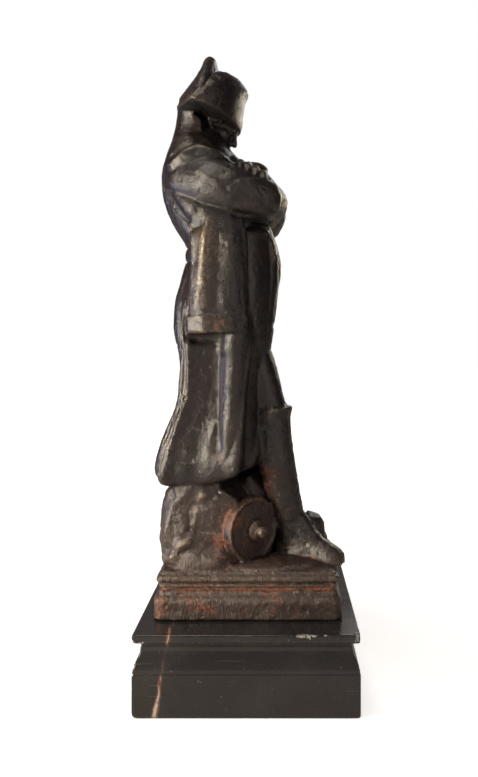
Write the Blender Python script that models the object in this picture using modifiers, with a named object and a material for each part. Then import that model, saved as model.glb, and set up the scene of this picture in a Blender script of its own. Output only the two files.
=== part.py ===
"""A small cast iron figure of a standing officer on a black marble plinth.

Run with: blender --background --python part.py
Metres, +Z up. The figure faces +X and its left side is towards +Y.
The origin is the middle of the plinth's underside.
"""

import math

import bmesh
import bpy
import numpy as np
from mathutils import Matrix, Vector

# Marble plinth
PLINTH_LENGTH = 0.0900
PLINTH_DEPTH = 0.0900
BLOCK_HEIGHT = 0.0178
COVE_HEIGHT = 0.0094
NECK_HEIGHT = 0.0012
SLAB_THICKNESS = 0.0047
NECK_INSET = 0.0028
SLAB_CHAMFER = 0.0016
PLINTH_ARRIS = 0.0005

# Stepped base, cast in one with the figure
BASE_LENGTH = 0.0782
BASE_DEPTH = 0.0620
LOWER_STEP_HEIGHT = 0.0123
MIDDLE_STEP_HEIGHT = 0.0042
TOP_STEP_HEIGHT = 0.0029
STEP_GROOVE = 0.0014
TOP_STEP_INSET = 0.0024
STEP_ROLL = 0.0028
STEP_ARRIS = 0.0006
BASE_CORNER_RADIUS = 0.0042
SEAT_GAP = 0.0003

# Figure, from the ground to the peak of the hat
FIGURE_HEIGHT = 0.2241

# Cannon that lies across the ground behind the boots
BREECH_RADIUS = 0.0138
MUZZLE_RADIUS = 0.0078
BARREL_LENGTH = 0.0520
BOSS_RADIUS = 0.0048
KNOB_RADIUS = 0.0023
KNOB_REACH = 0.0064
BARREL_TURN = math.radians(45)
BREECH_X = 0.0026
BREECH_Y = -0.0188
BREECH_LIFT = 0.0009

# Casting
CLAY_GRAIN = 0.00075
SMOOTH_ROUNDS = 4
CASTING_TRIANGLES = 8200

PLINTH_HEIGHT = BLOCK_HEIGHT + COVE_HEIGHT + NECK_HEIGHT + SLAB_THICKNESS
BASE_BOTTOM = PLINTH_HEIGHT + SEAT_GAP
BASE_HEIGHT = LOWER_STEP_HEIGHT + MIDDLE_STEP_HEIGHT + TOP_STEP_HEIGHT
GROUND = BASE_BOTTOM + BASE_HEIGHT

# The figure is laid out in shares of its height, from the ground to the hat's peak.
UNITS_TALL = 224.1
UNIT = FIGURE_HEIGHT / UNITS_TALL


def clear_scene():
    for old in list(bpy.data.objects):
        bpy.data.objects.remove(old, do_unlink=True)


def material(name, colour, roughness, metallic):
    made = bpy.data.materials.new(name)
    made.use_nodes = True
    shader = made.node_tree.nodes["Principled BSDF"]
    shader.inputs["Base Color"].default_value = (*colour, 1)
    shader.inputs["Roughness"].default_value = roughness
    shader.inputs["Metallic"].default_value = metallic
    return made


def new_object(name, shape, collection):
    mesh = bpy.data.meshes.new(name)
    shape.to_mesh(mesh)
    shape.free()
    made = bpy.data.objects.new(name, mesh)
    collection.objects.link(made)
    return made


def add_loft(shape, rings):
    """Skins rings of equal count, each a list of points, and caps both ends."""
    rows = [[shape.verts.new(point) for point in ring] for ring in rings]
    for low, high in zip(rows, rows[1:]):
        for here in range(len(low)):
            there = (here + 1) % len(low)
            shape.faces.new((low[here], low[there], high[there], high[here]))
    shape.faces.new(rows[0][::-1])
    shape.faces.new(rows[-1])


def add_ball(shape, centre, radii, turn=Matrix.Identity(3)):
    scale = Matrix.Diagonal((*radii, 1))
    place = Matrix.Translation(centre) @ turn.to_4x4() @ scale
    bmesh.ops.create_uvsphere(shape, u_segments=24, v_segments=14, radius=1, matrix=place)


def add_limb(shape, points, radii, flat=1.0, side=Vector((0, 1, 0)), steps=6, sides=20):
    """A tube through the points; flat narrows it along side, and both ends are domed."""
    centres = smooth_path([Vector(p) for p in points], steps)
    sizes = np.interp(np.linspace(0, 1, len(centres)), np.linspace(0, 1, len(radii)), radii)
    rings = []
    for index, centre in enumerate(centres):
        along = (centres[min(index + 1, len(centres) - 1)] - centres[max(index - 1, 0)]).normalized()
        across = (side - along * side.dot(along)).normalized()
        up = along.cross(across)
        last = index == len(centres) - 1
        domes = ((0, 1),)
        if index == 0:
            domes = ((-0.9, 0.35), (-0.55, 0.8), (0, 1))
        elif last:
            domes = ((0, 1), (0.55, 0.8), (0.9, 0.35))
        for shift, share in domes:
            size = sizes[index]
            middle = centre + along * shift * size * min(flat, 1.0)
            rings.append([
                middle
                + up * math.cos(turn) * size * share
                + across * math.sin(turn) * size * share * flat
                for turn in np.linspace(0, 2 * math.pi, sides, endpoint=False)
            ])
    add_loft(shape, [ring[::-1] for ring in rings])


def smooth_path(points, steps):
    """Points along a smooth curve through the given ones."""
    if len(points) < 3:
        return [points[0].lerp(points[-1], i / steps) for i in range(steps + 1)]
    padded = [2 * points[0] - points[1], *points, 2 * points[-1] - points[-2]]
    found = []
    for a, b, c, d in zip(padded, padded[1:], padded[2:], padded[3:]):
        for step in range(steps):
            t = step / steps
            curved = (2 * a - 5 * b + 4 * c - d) * t**2 + (3 * b - a - 3 * c + d) * t**3
            found.append(0.5 * (2 * b + (c - a) * t + curved))
    return found + [points[-1]]


def stations(rows, count):
    """Reads a table of sizes smoothly: rows start with their height, and count heights come back."""
    table = [Vector(row) for row in rows]
    steps = max(2, math.ceil(count / (len(table) - 1)))
    return smooth_path(table, steps)


def oval(z, back, front, half_width, square=2.4, count=96, swell=None):
    """A closed outline at height z, from the front anticlockwise. swell gives how far out it is pushed."""
    middle, ring = (back + front) / 2, []
    for step in range(count):
        turn = 2 * math.pi * step / count
        cosine, sine = math.cos(turn), math.sin(turn)
        x = (front - middle) * math.copysign(abs(cosine) ** (2 / square), cosine)
        y = half_width * math.copysign(abs(sine) ** (2 / square), sine)
        if swell:
            push = swell(math.degrees(turn), z)
            out = Vector((x, y)).normalized()
            x, y = x + out.x * push, y + out.y * push
        ring.append((middle + x, y, z))
    return ring


def bump(value, centre, width):
    return math.exp(-(((value - centre) / width) ** 2))


def ease(value, low, high):
    share = min(1, max(0, (value - low) / (high - low)))
    return share * share * (3 - 2 * share)


# Each fold of the coat: its angle round from the front at the waist and at the hem, its width and its depth.
COAT_FOLDS = (
    (-36, -37, 6, 1.0),
    (-48, -50, 7, -0.9),
    (-64, -66, 8, 3.6),
    (-98, -100, 16, -3.0),
    (-128, -134, 8, 4.4),
    (-148, -150, 7, -2.2),
    (-166, -166, 8, 1.2),
    (180, 180, 5, -1.6),
    (165, 165, 8, 1.2),
    (146, 150, 8, -1.8),
    (127, 130, 9, 4.0),
    (104, 102, 13, -2.8),
    (76, 74, 9, 3.6),
    (54, 52, 8, -1.6),
    (36, 36, 6, 1.5),
)
# Height, back, front and half width of the greatcoat.
COAT = (
    (34.0, -37.0, 3.0, 24.0),
    (35.0, -39.8, 5.2, 26.4),
    (38.0, -41.4, 6.6, 27.6),
    (44, -40.8, 7.2, 28.0),
    (54, -37.6, 7.0, 27.0),
    (65, -32.8, 6.6, 25.5),
    (76, -30.4, 6.6, 24.8),
    (88, -30.6, 8.6, 25.0),
    (100, -33.0, 10.6, 24.5),
    (112, -33.2, 12.4, 23.5),
    (124, -30.6, 13.6, 22.0),
    (136, -28.4, 13.0, 21.5),
    (147, -34.4, 9.6, 22.0),
    (158, -38.6, 1.0, 24.0),
    (168, -39.4, -3.0, 25.5),
    (176, -37.8, -6.5, 24.0),
    (182, -36.0, -10.0, 18.0),
    (187, -34.5, -12.0, 12.5),
)
OPENING_HALF_ANGLE = 27
OPENING_DEPTH = 15


def coat_swell(angle, z):
    """How far the coat's surface stands out: its folds, and the front left open between its edges."""
    skirt = 1 - ease(z, 92, 134)
    push = 0
    for top, hem, width, depth in COAT_FOLDS:
        centre = top + (hem - top) * (1 - ease(z, 36, 110))
        gap = (angle - centre + 180) % 360 - 180
        push += depth * skirt * bump(gap, 0, width)
    turned = (angle + 180) % 360 - 180
    opened = 1 - ease(abs(turned), OPENING_HALF_ANGLE - 6, OPENING_HALF_ANGLE)
    return push - OPENING_DEPTH * opened * (1 - ease(z, 150, 165))


def add_coat(shape):
    rings = []
    for z, back, front, half_width in stations(COAT, 60):
        ring = oval(z, back, front, half_width, swell=coat_swell)
        hem_rise = (1 - ease(z, 36, 52)) * 7
        rings.append([(x, y, z + hem_rise * ease(x, -22, 6)) for x, y, z in ring])
    add_loft(shape, rings)


FACING_ANGLE = 32
FACING_HEIGHTS = (47, 60, 76, 92, 108, 124, 138, 150)
FACING_RADIUS = 1.2
FACING_FLATTENING = 2.6


def add_facings(shape, side):
    """The turned-back edge of the coat, down one side of its opening."""
    rows = np.array(COAT)
    path = []
    for z in FACING_HEIGHTS:
        back, front, half_width = (np.interp(z, rows[:, 0], rows[:, column]) for column in (1, 2, 3))
        ring = oval(z, back, front, half_width, count=360, swell=coat_swell)
        path.append(ring[(side * FACING_ANGLE) % 360])
    across = Vector((-math.sin(math.radians(FACING_ANGLE)), side * math.cos(math.radians(FACING_ANGLE)), 0))
    add_limb(shape, path, (FACING_RADIUS, FACING_RADIUS), FACING_FLATTENING, across, 4, 14)


# Height, back, front and half width of the body under the coat.
BODY = (
    (90, -14.0, 8.0, 15.0),
    (100, -18.0, 10.0, 17.0),
    (112, -20.0, 11.5, 17.0),
    (124, -20.0, 13.6, 16.0),
    (131, -20.0, 13.8, 15.5),
    (140, -22.0, 11.6, 16.5),
    (152, -30.0, 7.0, 20.0),
    (165, -33.0, 3.0, 22.0),
    (174, -32.0, -2.0, 18.0),
    (182, -29.0, -9.0, 11.0),
    (190, -25.0, -9.0, 8.0),
)


def add_body(shape):
    add_loft(shape, [oval(*row, square=2.2, count=48) for row in stations(BODY, 30)])


# Height, middle forwards, middle sideways, half width and half thickness of the empty sleeve.
SLEEVE = (
    (160, -15.0, 21.0, 9.0, 4.5),
    (150, -13.5, 23.6, 11.0, 5.6),
    (138, -12.4, 25.0, 11.8, 6.2),
    (124, -12.2, 25.6, 12.0, 6.4),
    (106.4, -12.6, 25.8, 12.3, 6.4),
)
CUFF_HEIGHT = 7.2
CUFF_FLARE = 1.25
CUFF_HOLLOW = 4.0
CUFF_THICKNESS = 3.2
SLEEVE_EDGE_CUT = 1.42


def add_sleeve(shape, side):
    """The coat is worn over the shoulders, so its sleeves hang empty, open at the cuff."""
    rows = [(*row, 0.0, 0.0) for row in stations(SLEEVE, 20)]
    z, x, y, wide, thick = rows[-1][:5]
    cuff = (
        (0.2, 0.4, 0),
        (1.4, 1, 0),
        (CUFF_HEIGHT - 0.8, 1, 0),
        (CUFF_HEIGHT, 0.5, 0),
        (CUFF_HEIGHT, 0, CUFF_THICKNESS),
        (CUFF_HEIGHT - CUFF_HOLLOW, 0, CUFF_THICKNESS),
    )
    for drop, flare, inset in cuff:
        rows.append((z - drop, x, y, wide - inset, thick - inset, flare * CUFF_FLARE, drop / CUFF_HEIGHT))
    rings = []
    for z, x, y, wide, thick, flare, down in rows:
        ring = []
        for turn in np.linspace(0, 2 * math.pi, 40, endpoint=False):
            back = 0.5 - 0.5 * math.cos(turn)
            out = flare * (0.25 + 0.75 * back**0.7)
            px = math.copysign(abs(math.cos(turn)) ** 0.7, math.cos(turn))
            py = math.copysign(abs(math.sin(turn)) ** 0.7, math.sin(turn))
            cut = min(1, SLEEVE_EDGE_CUT / (abs(px) + abs(py)))
            forwards, sideways = px * cut * (wide + out), py * cut * (thick + out)
            ring.append((x + forwards, side * (y - sideways), z - down * 0.9 * back))
        rings.append(ring[::side])
    add_loft(shape, rings)


# The broad panel of the coat beside its opening: heights and middles, radii, flattening and way across.
PANEL = ((1.0, 18.5, 140), (1.3, 18.6, 120), (0.2, 18.8, 100), (-1.2, 18.6, 80), (-1.8, 19.0, 62), (-2.0, 19.5, 48))
PANEL_RADII = (4.0, 5.0, 5.0, 4.4, 4.0, 3.4)
PANEL_FLATTENING = 1.7
PANEL_ACROSS = (0.63, 0.78)

# Long folds that stand out of the coat: points and radii.
DRAPES = (
    (
        ((-4.2, -24.0, 112), (-5.2, -24.6, 98), (-6.2, -23.2, 86), (-6.8, -22.4, 72), (-7.4, -22.6, 58),
         (-8.4, -23.6, 46)),
        (3.6, 6.0, 6.0, 5.8, 5.8, 4.4),
    ),
    (
        ((-27.0, -17.5, 97), (-27.4, -16.5, 80), (-29.0, -17.5, 64), (-33.5, -19.5, 50), (-36.5, -19.5, 40)),
        (2.0, 2.6, 2.8, 3.0, 2.2),
    ),
    (((-3.5, 24.3, 112), (-4.6, 25.2, 97), (-6.0, 23.8, 76), (-7.0, 24.8, 45)), (3.6, 5.0, 4.2, 3.2)),
    (((-25.0, 17.5, 96), (-28.0, 17.5, 70), (-34.0, 20.0, 42)), (2.2, 2.8, 2.4)),
)


def add_drapes(shape):
    for side in (-1, 1):
        across = Vector((PANEL_ACROSS[0], -side * PANEL_ACROSS[1], 0))
        path = [(x, side * y, z) for x, y, z in PANEL]
        add_limb(shape, path, PANEL_RADII, PANEL_FLATTENING, across)
    for points, radii in DRAPES:
        add_limb(shape, points, radii, side=Vector((1, 0, 0)), sides=16)


def add_arms(shape):
    forward = Vector((1, 0, 0))
    # The right arm comes forward and its forearm goes under the left one.
    add_limb(shape, [(-26, -16.5, 164), (-15, -22.2, 161), (-3, -23.6, 156.9), (6.6, -20.5, 155.2)],
             (10.5, 11.6, 9.9, 8.9), 0.88)
    add_limb(shape, [(6, -20, 155.4), (9.5, -12, 155.2), (8, 0, 153), (6, 12, 151)],
             (8.8, 8.0, 6.6, 5.5), 0.9, forward)
    add_limb(shape, [(-31, -15, 160), (-22, -22.5, 151), (-8, -23.5, 147.5)], (6.0, 6.5, 6.0), 0.9)
    # The left arm, whose hand lies over the right one.
    add_limb(shape, [(-25, 17, 165), (-15, 22.5, 162), (-2, 23.5, 156.0), (7, 20.5, 151.5)],
             (10.5, 11.5, 10.2, 8.6), 0.86)
    add_limb(shape, [(7, 20, 151.5), (10, 12, 155.5), (8.5, 2, 161.5), (3.6, -8, 167)],
             (8.2, 7.0, 6.2, 5.4), 0.9, forward)


FINGER_PITCH = 3.25
FINGER_RADIUS = 1.85


def add_hands(shape):
    forward = Vector((1, 0, 0))
    tip = FINGER_RADIUS * 0.8
    add_ball(shape, (0.6, -12, 169.6), (7.6, 6.2, 3.8))
    for number in range(4):
        x = -3.6 + FINGER_PITCH * number
        z = 171.6 - 0.9 * number - 0.2 * number**2
        add_limb(shape, [(x - 0.4, -11, z - 1.6), (x, -16.8, z), (x, -21, z - 1.4), (x, -24.6, z - 5)],
                 (FINGER_RADIUS, FINGER_RADIUS, FINGER_RADIUS, tip), side=forward, sides=12)
    add_ball(shape, (2, 15, 151), (6, 5, 4))
    for number in range(4):
        x = -3 + FINGER_PITCH * number
        add_limb(shape, [(x, 17, 148.5), (x, 22, 145.5), (x - 0.3, 26, 147.0)],
                 (FINGER_RADIUS, FINGER_RADIUS, tip), side=forward, sides=12)


HEAD_CENTRE = Vector((-15.4, 0, 193.8))
HEAD_BOW = math.radians(30)


def add_head(shape):
    bow = Matrix.Rotation(HEAD_BOW, 3, "Y")

    def at(forwards, sideways, up):
        return HEAD_CENTRE + bow @ Vector((forwards, sideways, up))

    add_ball(shape, at(-1.5, 0, 3.2), (11.6, 9.2, 10.4), bow)
    add_ball(shape, at(1.0, 0, -4), (8.4, 7.5, 9.6), bow)
    add_ball(shape, at(2.8, 0, -8.6), (6.4, 6.2, 5.0), bow)
    add_ball(shape, at(7.0, 0, -11.6), (2.6, 2.9, 2.2), bow)
    add_ball(shape, at(8.0, 0, -7.9), (2.4, 3.4, 2.4), bow)
    add_limb(shape, [at(8.7, 0, 2.2), at(10.3, 0, -1.8), at(11.6, 0, -4.2)], (1.4, 1.3, 1.6), sides=12)
    add_limb(shape, [at(6.8, -6, 2.2), at(9.2, 0, 2.6), at(6.8, 6, 2.2)], (1.2, 1.3, 1.2), sides=12,
             side=Vector((0, 0, 1)))
    for side in (-1, 1):
        add_ball(shape, at(5.6, 4.8 * side, -3.4), (3.1, 2.6, 2.4), bow)
        add_ball(shape, at(-0.8, 8.9 * side, -0.6), (2.2, 1.3, 3.2), bow)
    add_limb(shape, [(-19, 0, 174), (-18, 0, 183), (-16.5, 0, 191)], (10.8, 8.4, 7.6))


# Height, back, front and half width of the greatcoat's turned-up collar.
COLLAR = (
    (177, -37.2, -8.0, 18.5),
    (182, -35.9, -10.0, 15.5),
    (187, -34.7, -11.0, 13.8),
    (192, -33.4, -12.0, 13.2),
    (197, -32.9, -12.5, 13.0),
    (201, -33.2, -13.0, 13.0),
)
COLLAR_THICKNESS = 2.6
COLLAR_SLOPE = 0.72


def add_collar(shape):
    """A band round the back and sides of the neck: up its outer side, over the top and down inside."""
    def swell(angle, z):
        turned = abs((angle + 180) % 360 - 180)
        edge = 62 + 20 * ease(z, 178, 198)
        return -10 * (1 - ease(turned, edge - 8, edge))

    def sloped(ring):
        return [(x, y, z - COLLAR_SLOPE * max(0, x + 33) * ease(z, 178, 200)) for x, y, z in ring]

    outer = [sloped(oval(*row, count=72, swell=swell)) for row in stations(COLLAR, 15)]
    top, back, front, half_width = COLLAR[-1]
    inner_back, inner_half_width = back + COLLAR_THICKNESS, half_width - COLLAR_THICKNESS
    inner = [
        sloped(oval(z, inner_back, front - 1, inner_half_width, count=72, swell=swell))
        for z in (top, top - 7)
    ]
    add_loft(shape, outer + inner)


HAT_HALF_WIDTH = 27
HAT_CORNER = (-22.4, 196.6)
BRIM_BACK = (-32.2, 199.4)
BRIM_FRONT = (-4.0, 190.0)
BRIM_SIDE_DROOP = 6.0
LIP_REACH = 1.7
# The hat's outline along its middle: place forwards, height above the brim's fold, and which part it is on.
HAT_PROFILE = (
    (-32.2, 0.0, "rear"),
    (-31.6, 5.2, "rear"),
    (-28.5, 10.0, "rear"),
    (-23.6, 19.0, "rear"),
    (-21.4, 24.1, "rear"),
    (-20.0, 27.8, "rear"),
    (-18.2, 29.6, "rear"),
    (-16.0, 28.9, "rear"),
    (-14.4, 25.0, "rear"),
    (-14.2, 21.8, "gap"),
    (-13.0, 22.4, "crown"),
    (-9.0, 23.0, "crown"),
    (-4.8, 22.0, "crown"),
    (-2.2, 20.0, "lip"),
    (-0.8, 18.0, "lip"),
    (-2.3, 14.6, "front"),
    (-3.2, 8.0, "front"),
    (-3.7, 3.0, "front"),
    (-4.6, 0.0, "front"),
    (-8.0, -0.3, "under"),
    (-18.0, -0.5, "under"),
    (-29.0, -0.4, "under"),
)


def brim_height(forwards):
    share = (forwards - BRIM_BACK[0]) / (BRIM_FRONT[0] - BRIM_BACK[0])
    return BRIM_BACK[1] + share * (BRIM_FRONT[1] - BRIM_BACK[1])


def hat_section(share):
    """The hat's outline at a share of the way out to one of its two corners."""
    length = max(0.0, 1 - share**2) ** 0.6
    droop = (HAT_CORNER[1] - brim_height(HAT_CORNER[0])) * share**1.8
    heights = {
        "rear": max(0.0, 1 - share**1.5) ** 0.9,
        "gap": max(0.0, 1 - share**1.2),
        "crown": max(0.0, 1 - share**2.3) ** 0.75,
        "lip": max(0.0, 1 - share**2.3) ** 0.75,
        "front": max(0.0, 1 - share**2.3) ** 0.75,
        "under": length,
    }
    for forwards, height, part in HAT_PROFILE:
        x = HAT_CORNER[0] + (forwards - HAT_CORNER[0]) * length
        if part == "lip":
            x -= LIP_REACH * ease(share, 0.1, 0.5)
        behind = max(0.0, (HAT_CORNER[0] - x) / (HAT_CORNER[0] - BRIM_BACK[0])) * (1 - ease(height, 2, 14))
        hang = BRIM_SIDE_DROOP * behind * share**1.2 * (1 - share**8)
        thickness = (1.0 if height > 0 else -0.4) * (1 - length)
        yield x, brim_height(x) + droop - hang + height * heights[part] + thickness


def add_hat(shape):
    """A hat with its brim turned up before and behind, and its two corners out to the sides."""
    sections = []
    for step in range(33):
        across = -math.cos(math.pi * step / 32)
        sections.append([(x, HAT_HALF_WIDTH * across, z) for x, z in hat_section(abs(across))])
    add_loft(shape, sections)


def add_leg(shape, side, hip, knee, ankle, toe_turn):
    """A leg in breeches and a riding boot whose top stands up before the knee."""
    hip, knee, ankle = Vector(hip), Vector(knee), Vector(ankle)
    add_limb(shape, [hip, hip.lerp(knee, 0.5) + Vector((1.0, 0, 0)), knee], (11.5, 10.2, 7.6))
    calf = knee.lerp(ankle, 0.38) + Vector((-1.2, side * 0.6, 0))
    add_limb(shape, [knee, calf, ankle + Vector((-0.8, 0, 7)), ankle], (8.6, 8.5, 6.4, 6.0))
    low, high = knee + Vector((-0.6, 0, -7)), knee + Vector((1.0, 0, 2.5))
    boot_top = ((low, 8.3, 0), (low.lerp(high, 0.6), 8.6, 0), (high, 9.0, 0.7), (high, 7.4, 0.7))
    rings = []
    for middle, radius, lift in boot_top:
        rings.append([
            (
                middle.x + radius * math.cos(turn),
                middle.y + radius * math.sin(turn),
                middle.z + lift * math.cos(turn),
            )
            for turn in np.linspace(0, 2 * math.pi, 28, endpoint=False)
        ])
    add_loft(shape, rings)
    add_boot(shape, ankle, toe_turn)


# Along the foot from the heel: half width, and height of the top above the sole.
BOOT = (
    (-6.2, 3.6, 8.0),
    (-4.5, 5.2, 13.0),
    (0.0, 5.8, 20.0),
    (4.0, 5.8, 21.5),
    (7.0, 5.6, 18.6),
    (10.0, 5.4, 14.6),
    (14.0, 5.7, 10.0),
    (18.0, 5.8, 7.8),
    (21.5, 4.8, 6.0),
    (24.0, 2.6, 3.8),
)


def add_boot(shape, ankle, toe_turn):
    place = Matrix.Translation((ankle.x, ankle.y, 0)) @ Matrix.Rotation(toe_turn, 4, "Z")
    sections = []
    for along, half_width, top in stations(BOOT, 18):
        ring = []
        for turn in np.linspace(0, 2 * math.pi, 24, endpoint=False):
            y = half_width * math.copysign(abs(math.cos(turn)) ** 0.85, math.cos(turn))
            z = top * max(math.sin(turn), 0) ** 0.9 - 0.8 * (math.sin(turn) < 0)
            ring.append(place @ Vector((along, y, z)))
        sections.append(ring)
    add_loft(shape, sections)


# Stones of the rock that backs the figure: middle, radii and seed.
STONES = (
    ((-30.0, -9, 16), (9.2, 17, 21), 1),
    ((-29.0, 12, 14), (10.0, 16, 20), 4),
    ((-14.0, 0, 20), (16, 20, 18), 7),
    ((-14.5, -14, 19), (13, 11, 17), 2),
    ((-19.0, -18, 2), (15.5, 9.5, 11), 5),
    ((-15.0, 18, 4), (20, 11, 12), 3),
    ((4.0, -16, -1), (30, 12.5, 4.0), 6),
    ((0.0, 5, 14), (14, 16, 26), 8),
    ((28.5, 13, 5.0), (6.2, 8.5, 10.5), 9),
    ((12.0, 14, -1), (23, 14, 5), 10),
    ((-24.5, -13, 24), (9, 9, 12.5), 11),
    ((-22.0, -14.5, 31), (13, 9, 8.5), 13),
    ((-23.5, -16.5, 21), (8, 7, 9.5), 15),
    ((-20.0, -19.0, 2), (14, 9.5, 10.5), 16),
    ((-22.0, 14, 30), (12, 9, 8), 14),
    ((-24.0, -14, 8), (13, 13, 10), 12),
)
STONE_POINTS = 34


def add_stones(shape):
    """Each stone is the hull of points spread over an egg shape, so it has broad flat faces."""
    for centre, radii, seed in STONES:
        random = np.random.default_rng(seed)
        corners = []
        for number in range(STONE_POINTS):
            height = 1 - 2 * (number + 0.5) / STONE_POINTS
            turn = math.pi * (1 + math.sqrt(5)) * number + seed
            wide = math.sqrt(1 - height * height)
            reach = 0.84 + 0.24 * random.random()
            spread = Vector((wide * math.cos(turn), wide * math.sin(turn), height)) * reach
            boxed = Vector(math.copysign(abs(value) ** 0.75, value) for value in spread)
            corners.append(shape.verts.new(Vector(centre) + boxed * Vector(radii)))
        hull = bmesh.ops.convex_hull(shape, input=corners)
        spare = [item for item in hull["geom_interior"] if isinstance(item, bmesh.types.BMVert)]
        bmesh.ops.delete(shape, geom=spare, context="VERTS")


GROUND_RISE = 0.5
GROUND_DEPTH = 3.0
GROUND_INSET = 1.6


def add_ground(shape):
    """The earth under the boots and stones: it stands just above the base's top and reaches down into it."""
    inset = 2 * (TOP_STEP_INSET / UNIT + GROUND_INSET)
    length, depth = BASE_LENGTH / UNIT - inset, BASE_DEPTH / UNIT - inset
    levels = ((-GROUND_DEPTH, 0), (0, 0), (GROUND_RISE, GROUND_INSET))
    add_loft(shape, [
        rounded_rectangle(length - 2 * draw, depth - 2 * draw, BASE_CORNER_RADIUS / UNIT, height)
        for height, draw in levels
    ])


def figure_blocks():
    """All the clay of the figure and its rock, in the figure's own units, from the ground up."""
    shape = bmesh.new()
    add_coat(shape)
    add_body(shape)
    for side in (-1, 1):
        add_sleeve(shape, side)
        add_facings(shape, side)
    add_drapes(shape)
    add_arms(shape)
    add_hands(shape)
    add_head(shape)
    add_collar(shape)
    add_hat(shape)
    add_leg(shape, -1, (-8, -8, 104), (9, -11, 64), (18.5, -6.5, 10), math.radians(-22))
    add_leg(shape, 1, (-8, 8, 104), (7, 11, 63), (15.0, 10, 10), math.radians(36))
    add_stones(shape)
    add_ground(shape)
    bmesh.ops.transform(
        shape, matrix=Matrix.Translation((0, 0, GROUND)) @ Matrix.Scale(UNIT, 4), verts=shape.verts
    )
    return shape


def barrel_profile():
    """Radius and distance from the base ring along the barrel, muzzle first."""
    slim, fat = MUZZLE_RADIUS, BREECH_RADIUS
    length = BARREL_LENGTH
    return (
        (0, length),
        (slim * 0.85, length),
        (slim * 1.12, length * 0.97),
        (slim * 1.12, length * 0.93),
        (slim * 0.86, length * 0.86),
        (slim, length * 0.55),
        (slim * 1.1, length * 0.54),
        (slim * 1.1, length * 0.50),
        (fat * 0.80, length * 0.49),
        (fat * 0.84, length * 0.20),
        (fat * 0.88, length * 0.11),
        (fat, length * 0.08),
        (fat, 0.0006),
        (fat * 0.96, 0),
        (BOSS_RADIUS * 1.1, 0),
        (BOSS_RADIUS, -KNOB_REACH * 0.08),
        (BOSS_RADIUS * 0.90, -KNOB_REACH * 0.34),
        (KNOB_RADIUS * 1.3, -KNOB_REACH * 0.50),
        (KNOB_RADIUS, -KNOB_REACH * 0.56),
        (KNOB_RADIUS, -KNOB_REACH * 0.88),
        (KNOB_RADIUS * 0.5, -KNOB_REACH),
        (0, -KNOB_REACH),
    )


def make_cannon(collection):
    """The barrel as a turned shape, with its knob end towards the viewer's side of the base."""
    outline = bmesh.new()
    points = [outline.verts.new((radius, 0, height)) for radius, height in barrel_profile()]
    for first, second in zip(points, points[1:]):
        outline.edges.new((first, second))
    cannon = new_object("cannon_clay", outline, collection)
    screw = cannon.modifiers.new("Turned", "SCREW")
    screw.steps = screw.render_steps = 36
    screw.use_merge_vertices = True
    screw.merge_threshold = 0.00005
    lying = Matrix.Rotation(BARREL_TURN, 4, "Z") @ Matrix.Rotation(math.radians(-90), 4, "X")
    breech = Vector((BREECH_X, BREECH_Y, GROUND + BREECH_RADIUS + BREECH_LIFT))
    cannon.matrix_world = Matrix.Translation(breech) @ lying
    return cannon


def rounded_rectangle(length, depth, radius, z, corner_steps=4):
    """Points round a rectangle with rounded corners, anticlockwise."""
    ring = []
    for quarter, (sx, sy) in enumerate(((1, 1), (-1, 1), (-1, -1), (1, -1))):
        cx, cy = sx * (length / 2 - radius), sy * (depth / 2 - radius)
        for step in range(corner_steps + 1):
            turn = math.pi / 2 * (quarter + step / corner_steps)
            ring.append((cx + radius * math.cos(turn), cy + radius * math.sin(turn), z))
    return ring


def step_profile():
    """Height and inset of the stepped base: a rolled step, a groove, a square step and the ground's edge."""
    roll_bottom = LOWER_STEP_HEIGHT - STEP_ROLL
    points = [(0, STEP_ARRIS), (STEP_ARRIS, 0)]
    for step in range(7):
        turn = math.pi / 2 * step / 6
        points.append((roll_bottom + STEP_ROLL * math.sin(turn), STEP_ROLL * (1 - math.cos(turn)) * 0.75))
    middle_top = LOWER_STEP_HEIGHT + MIDDLE_STEP_HEIGHT
    points.append((LOWER_STEP_HEIGHT + STEP_ARRIS / 2, STEP_ROLL * 0.75))
    points.append((LOWER_STEP_HEIGHT + STEP_ARRIS, STEP_GROOVE * 0.4))
    points.append((LOWER_STEP_HEIGHT + MIDDLE_STEP_HEIGHT * 0.45, STEP_GROOVE * 0.3))
    points.append((middle_top - STEP_ARRIS, STEP_GROOVE * 0.3))
    points.append((middle_top, STEP_GROOVE * 0.3 + STEP_ARRIS))
    points.append((middle_top + STEP_ARRIS / 3, TOP_STEP_INSET - STEP_ARRIS))
    points.append((middle_top + STEP_ARRIS, TOP_STEP_INSET))
    points.append((BASE_HEIGHT - STEP_ARRIS, TOP_STEP_INSET + STEP_ARRIS / 2))
    points.append((BASE_HEIGHT, TOP_STEP_INSET + STEP_ARRIS * 2))
    return points


def make_base(collection):
    shape = bmesh.new()
    rings = []
    for height, inset in step_profile():
        length, depth = BASE_LENGTH - 2 * inset, BASE_DEPTH - 2 * inset
        rings.append(rounded_rectangle(length, depth, BASE_CORNER_RADIUS, BASE_BOTTOM + height))
    add_loft(shape, rings)
    return new_object("base_clay", shape, collection)


def evaluated_mesh(item):
    graph = bpy.context.evaluated_depsgraph_get()
    mesh = bpy.data.meshes.new_from_object(item.evaluated_get(graph))
    mesh.transform(item.matrix_world)
    return mesh


def outer_skin(mesh):
    """Drops the closed pockets that the clay shapes leave between them, so the casting is solid."""
    shape = bmesh.new()
    shape.from_mesh(mesh)
    shape.verts.ensure_lookup_table()
    unseen, skins = set(shape.verts), []
    while unseen:
        skin, edge = set(), [next(iter(unseen))]
        while edge:
            vertex = edge.pop()
            if vertex in unseen:
                unseen.discard(vertex)
                skin.add(vertex)
                edge.extend(link.other_vert(vertex) for link in vertex.link_edges)
        skins.append(skin)
    largest = max(skins, key=len)
    bmesh.ops.delete(shape, geom=[v for v in shape.verts if v not in largest], context="VERTS")
    return shape


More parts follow.
